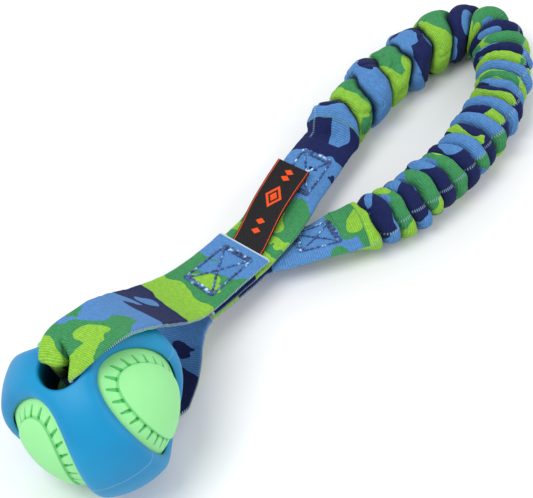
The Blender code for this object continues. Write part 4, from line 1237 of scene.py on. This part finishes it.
def stitches():
    L = LOOP_ROUTE
    out = []
    s_box = 0.5 * (L.s_at_x(99.9) + L.s_at_x(74.2))
    rows = box_x_rows(s_box, 0.5, 26.5, 13.6)
    top = lambda s, v, h: L.at(s, v, STRAP_T / 2 + h)
    low = lambda s, v, h: L.at(s, v, LAY1 - STRAP_T / 2 - h)
    out.append((stitch_rows("join_stitch_needle", top, rows, 2.3, 0.46), "root", "join_stitch_needle_thread"))
    out.append((stitch_rows("join_stitch_bobbin", low, rows, 2.0, 0.30), "root", "join_stitch_bobbin_thread"))
    hp = (STRAP_T + 2.4) / 2
    for tag, route, back, run in (("front", FT, 19.0, 22.0), ("rear", RT, 11.0, 17.0)):
        rows = box_x_rows(route.length - back, 0.0, run, 12.5)
        for kind, side in (("needle", 1), ("bobbin", -1)):
            def at(s, v, h, route=route, side=side):
                return route.at(min(s, route.length - 0.3), v, side * (hp + h))
            out.append((stitch_rows(f"{tag}_core_stitch_{kind}", at, rows, 2.2, 0.40), "handle",
                        f"{tag}_core_stitch_{kind}_thread"))
    return out


# ------------------------------------------------------------------ label
def label_flap():
    """A strip of satin folded double: out along the top, round the fold and back."""
    st = np.array([(104.9, 6.9, 0.0)] + LABEL)
    xs = np.linspace(st[0, 0], st[-1, 0], 90)
    yy = pchip(st[:, 0], st[:, 1:3], xs)
    P, W = [], []
    for x, (y, lift) in zip(xs, yy):
        i = np.abs(FT.P[:, 0] - x).argmin()
        v = (y - FT.P[i, 1]) / FT.W[i, 1]
        P.append(FT.at(FT.s[i], v, STRAP_T / 2 + 0.55 + LABEL_T / 2 + lift))
        W.append(unit(FT.W[i] - np.array([0.24, 0, 0])))
    P, W = np.array(P), np.array(W)
    # smooth out the steps of the nearest points
    for _ in range(6):
        P[1:-1] = (P[:-2] + 2 * P[1:-1] + P[2:]) / 4
        W[1:-1] = (W[:-2] + 2 * W[1:-1] + W[2:]) / 4
    R = Route(P, W, np.zeros(len(P)))
    L = R.length
    gap = lambda s: 0.17 + 0.75 * smooth((s - 6) / (L - 6))     # half distance between the layers
    g1 = gap(L - 1.0)
    path = [(s, gap(s)) for s in np.linspace(0, L - g1, 80)]
    path += [(L - g1 + g1 * math.sin(a), g1 * math.cos(a)) for a in np.linspace(0, math.pi, 14)[1:-1]]
    path += [(s, -gap(s)) for s in np.linspace(L - g1, 0.0, 80)]
    path = np.array(path)
    pl = arc_length(path)
    nrm = np.gradient(path, axis=0)
    nrm = np.stack([-nrm[:, 1], nrm[:, 0]], 1)
    nrm = rows_unit(nrm)
    t = 0.15
    nv = 28
    vs = np.linspace(-LABEL_W / 2, LABEL_W / 2, nv)
    V = []
    for (s, h), nn in zip(path, nrm):
        ring = []
        for sign, order in ((1, vs), (-1, vs[::-1])):
            for v in order:
                ss, hh = s + nn[0] * t * sign, h + nn[1] * t * sign
                # the edges of woven tape curl a little
                curl = 0.12 * (abs(v) / (LABEL_W / 2)) ** 4
                ring.append(R.at(min(max(ss, 0), L), v, hh + curl) + (max(ss - L, 0)) * R.T[-1])
        V.append(ring)
    V = np.array(V)
    m, n = V.shape[:2]
    f, rows, cols = grid_faces(m, n, True, flip=True)
    vv = np.concatenate([vs, vs[::-1], vs[:1]]) / 100
    uv = np.stack([pl[rows] / 100, vv[cols]], -1).reshape(-1, 2).tolist()
    faces = f.tolist()
    for b, fl in ((0, True), ((m - 1) * n, False)):
        for j in range(nv - 1):
            q = [b + j, b + j + 1, b + n - 2 - j, b + n - 1 - j]
            faces.append(q if fl else q[::-1])
            uv += [[0.0, 0.0]] * 4
    return mesh_object("label_flap_satin", V.reshape(-1, 3), faces, [M_LABEL], uv=uv)


shell = ball_shell()
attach(shell, "ball"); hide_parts("ball_shell")
core = ball_core()
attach(core, "ball"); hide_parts("ball_core")

strap = strap_main()
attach(strap, "root")
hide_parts("strap_front_leg", "strap_bore_run", "strap_rear_leg")

bag, u_total = sleeve()
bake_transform(bag)
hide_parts("sleeve_front_strand", "sleeve_bend", "sleeve_rear_strand")

rear = tail("rear_tail", RT, 22.0, M_SLEEVE, 0.0, False)
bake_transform(rear)
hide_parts("strap_rear_tail")
front = tail("front_tail", FT, 33.0, M_SLEEVE, u_total + 13.0, True)
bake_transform(front)
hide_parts("strap_front_tail")

cord = elastic()
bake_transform(cord)
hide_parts("elastic_front_strand", "elastic_bend", "elastic_rear_strand")

for ob, body, node in stitches():
    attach(ob, body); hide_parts(node)

flap = label_flap()
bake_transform(flap)
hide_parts("label_flap")
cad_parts["label_sewn_end"].data.materials.clear()
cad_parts["label_sewn_end"].data.materials.append(M_LABEL)

# ------------------------------------------------------------------ floor and light
def floor_mat():
    m, nt, p = new_mat("pale_floor", rough=0.75, spec=0.2)
    p.inputs["Base Color"].default_value = (0.86, 0.87, 0.88, 1)
    return m


fl = mesh_object("floor", np.array([[-6000, -6000, 0], [6000, -6000, 0], [6000, 6000, 0], [-6000, 6000, 0]]),
                 [[0, 1, 2, 3]], [floor_mat()], smooth_on=False)


def area(name, where, aim, size, power, colour=(1, 1, 1)):
    d = bpy.data.lights.new(name, "AREA")
    d.shape, d.size, d.energy, d.color = "DISK", size, power, colour
    o = bpy.data.objects.new(name, d)
    o.location = Vector(where)
    o.rotation_euler = (Vector(aim) - Vector(where)).to_track_quat("-Z", "Y").to_euler()
    bpy.context.scene.collection.objects.link(o)


area("key", (-0.9, 0.25, 1.5), (0, 0, 0.02), 0.9, 17.0)
area("fill", (0.6, -1.3, 1.0), (0, 0, 0.02), 1.2, 8.0)
area("rim", (0.9, 1.1, 0.9), (0, 0, 0.02), 0.8, 6.0)
world = bpy.data.worlds.new("studio")
bpy.context.scene.world = world
world.use_nodes = True
world.node_tree.nodes["Background"].inputs[0].default_value = (1, 1, 1, 1)
world.node_tree.nodes["Background"].inputs[1].default_value = 0.66
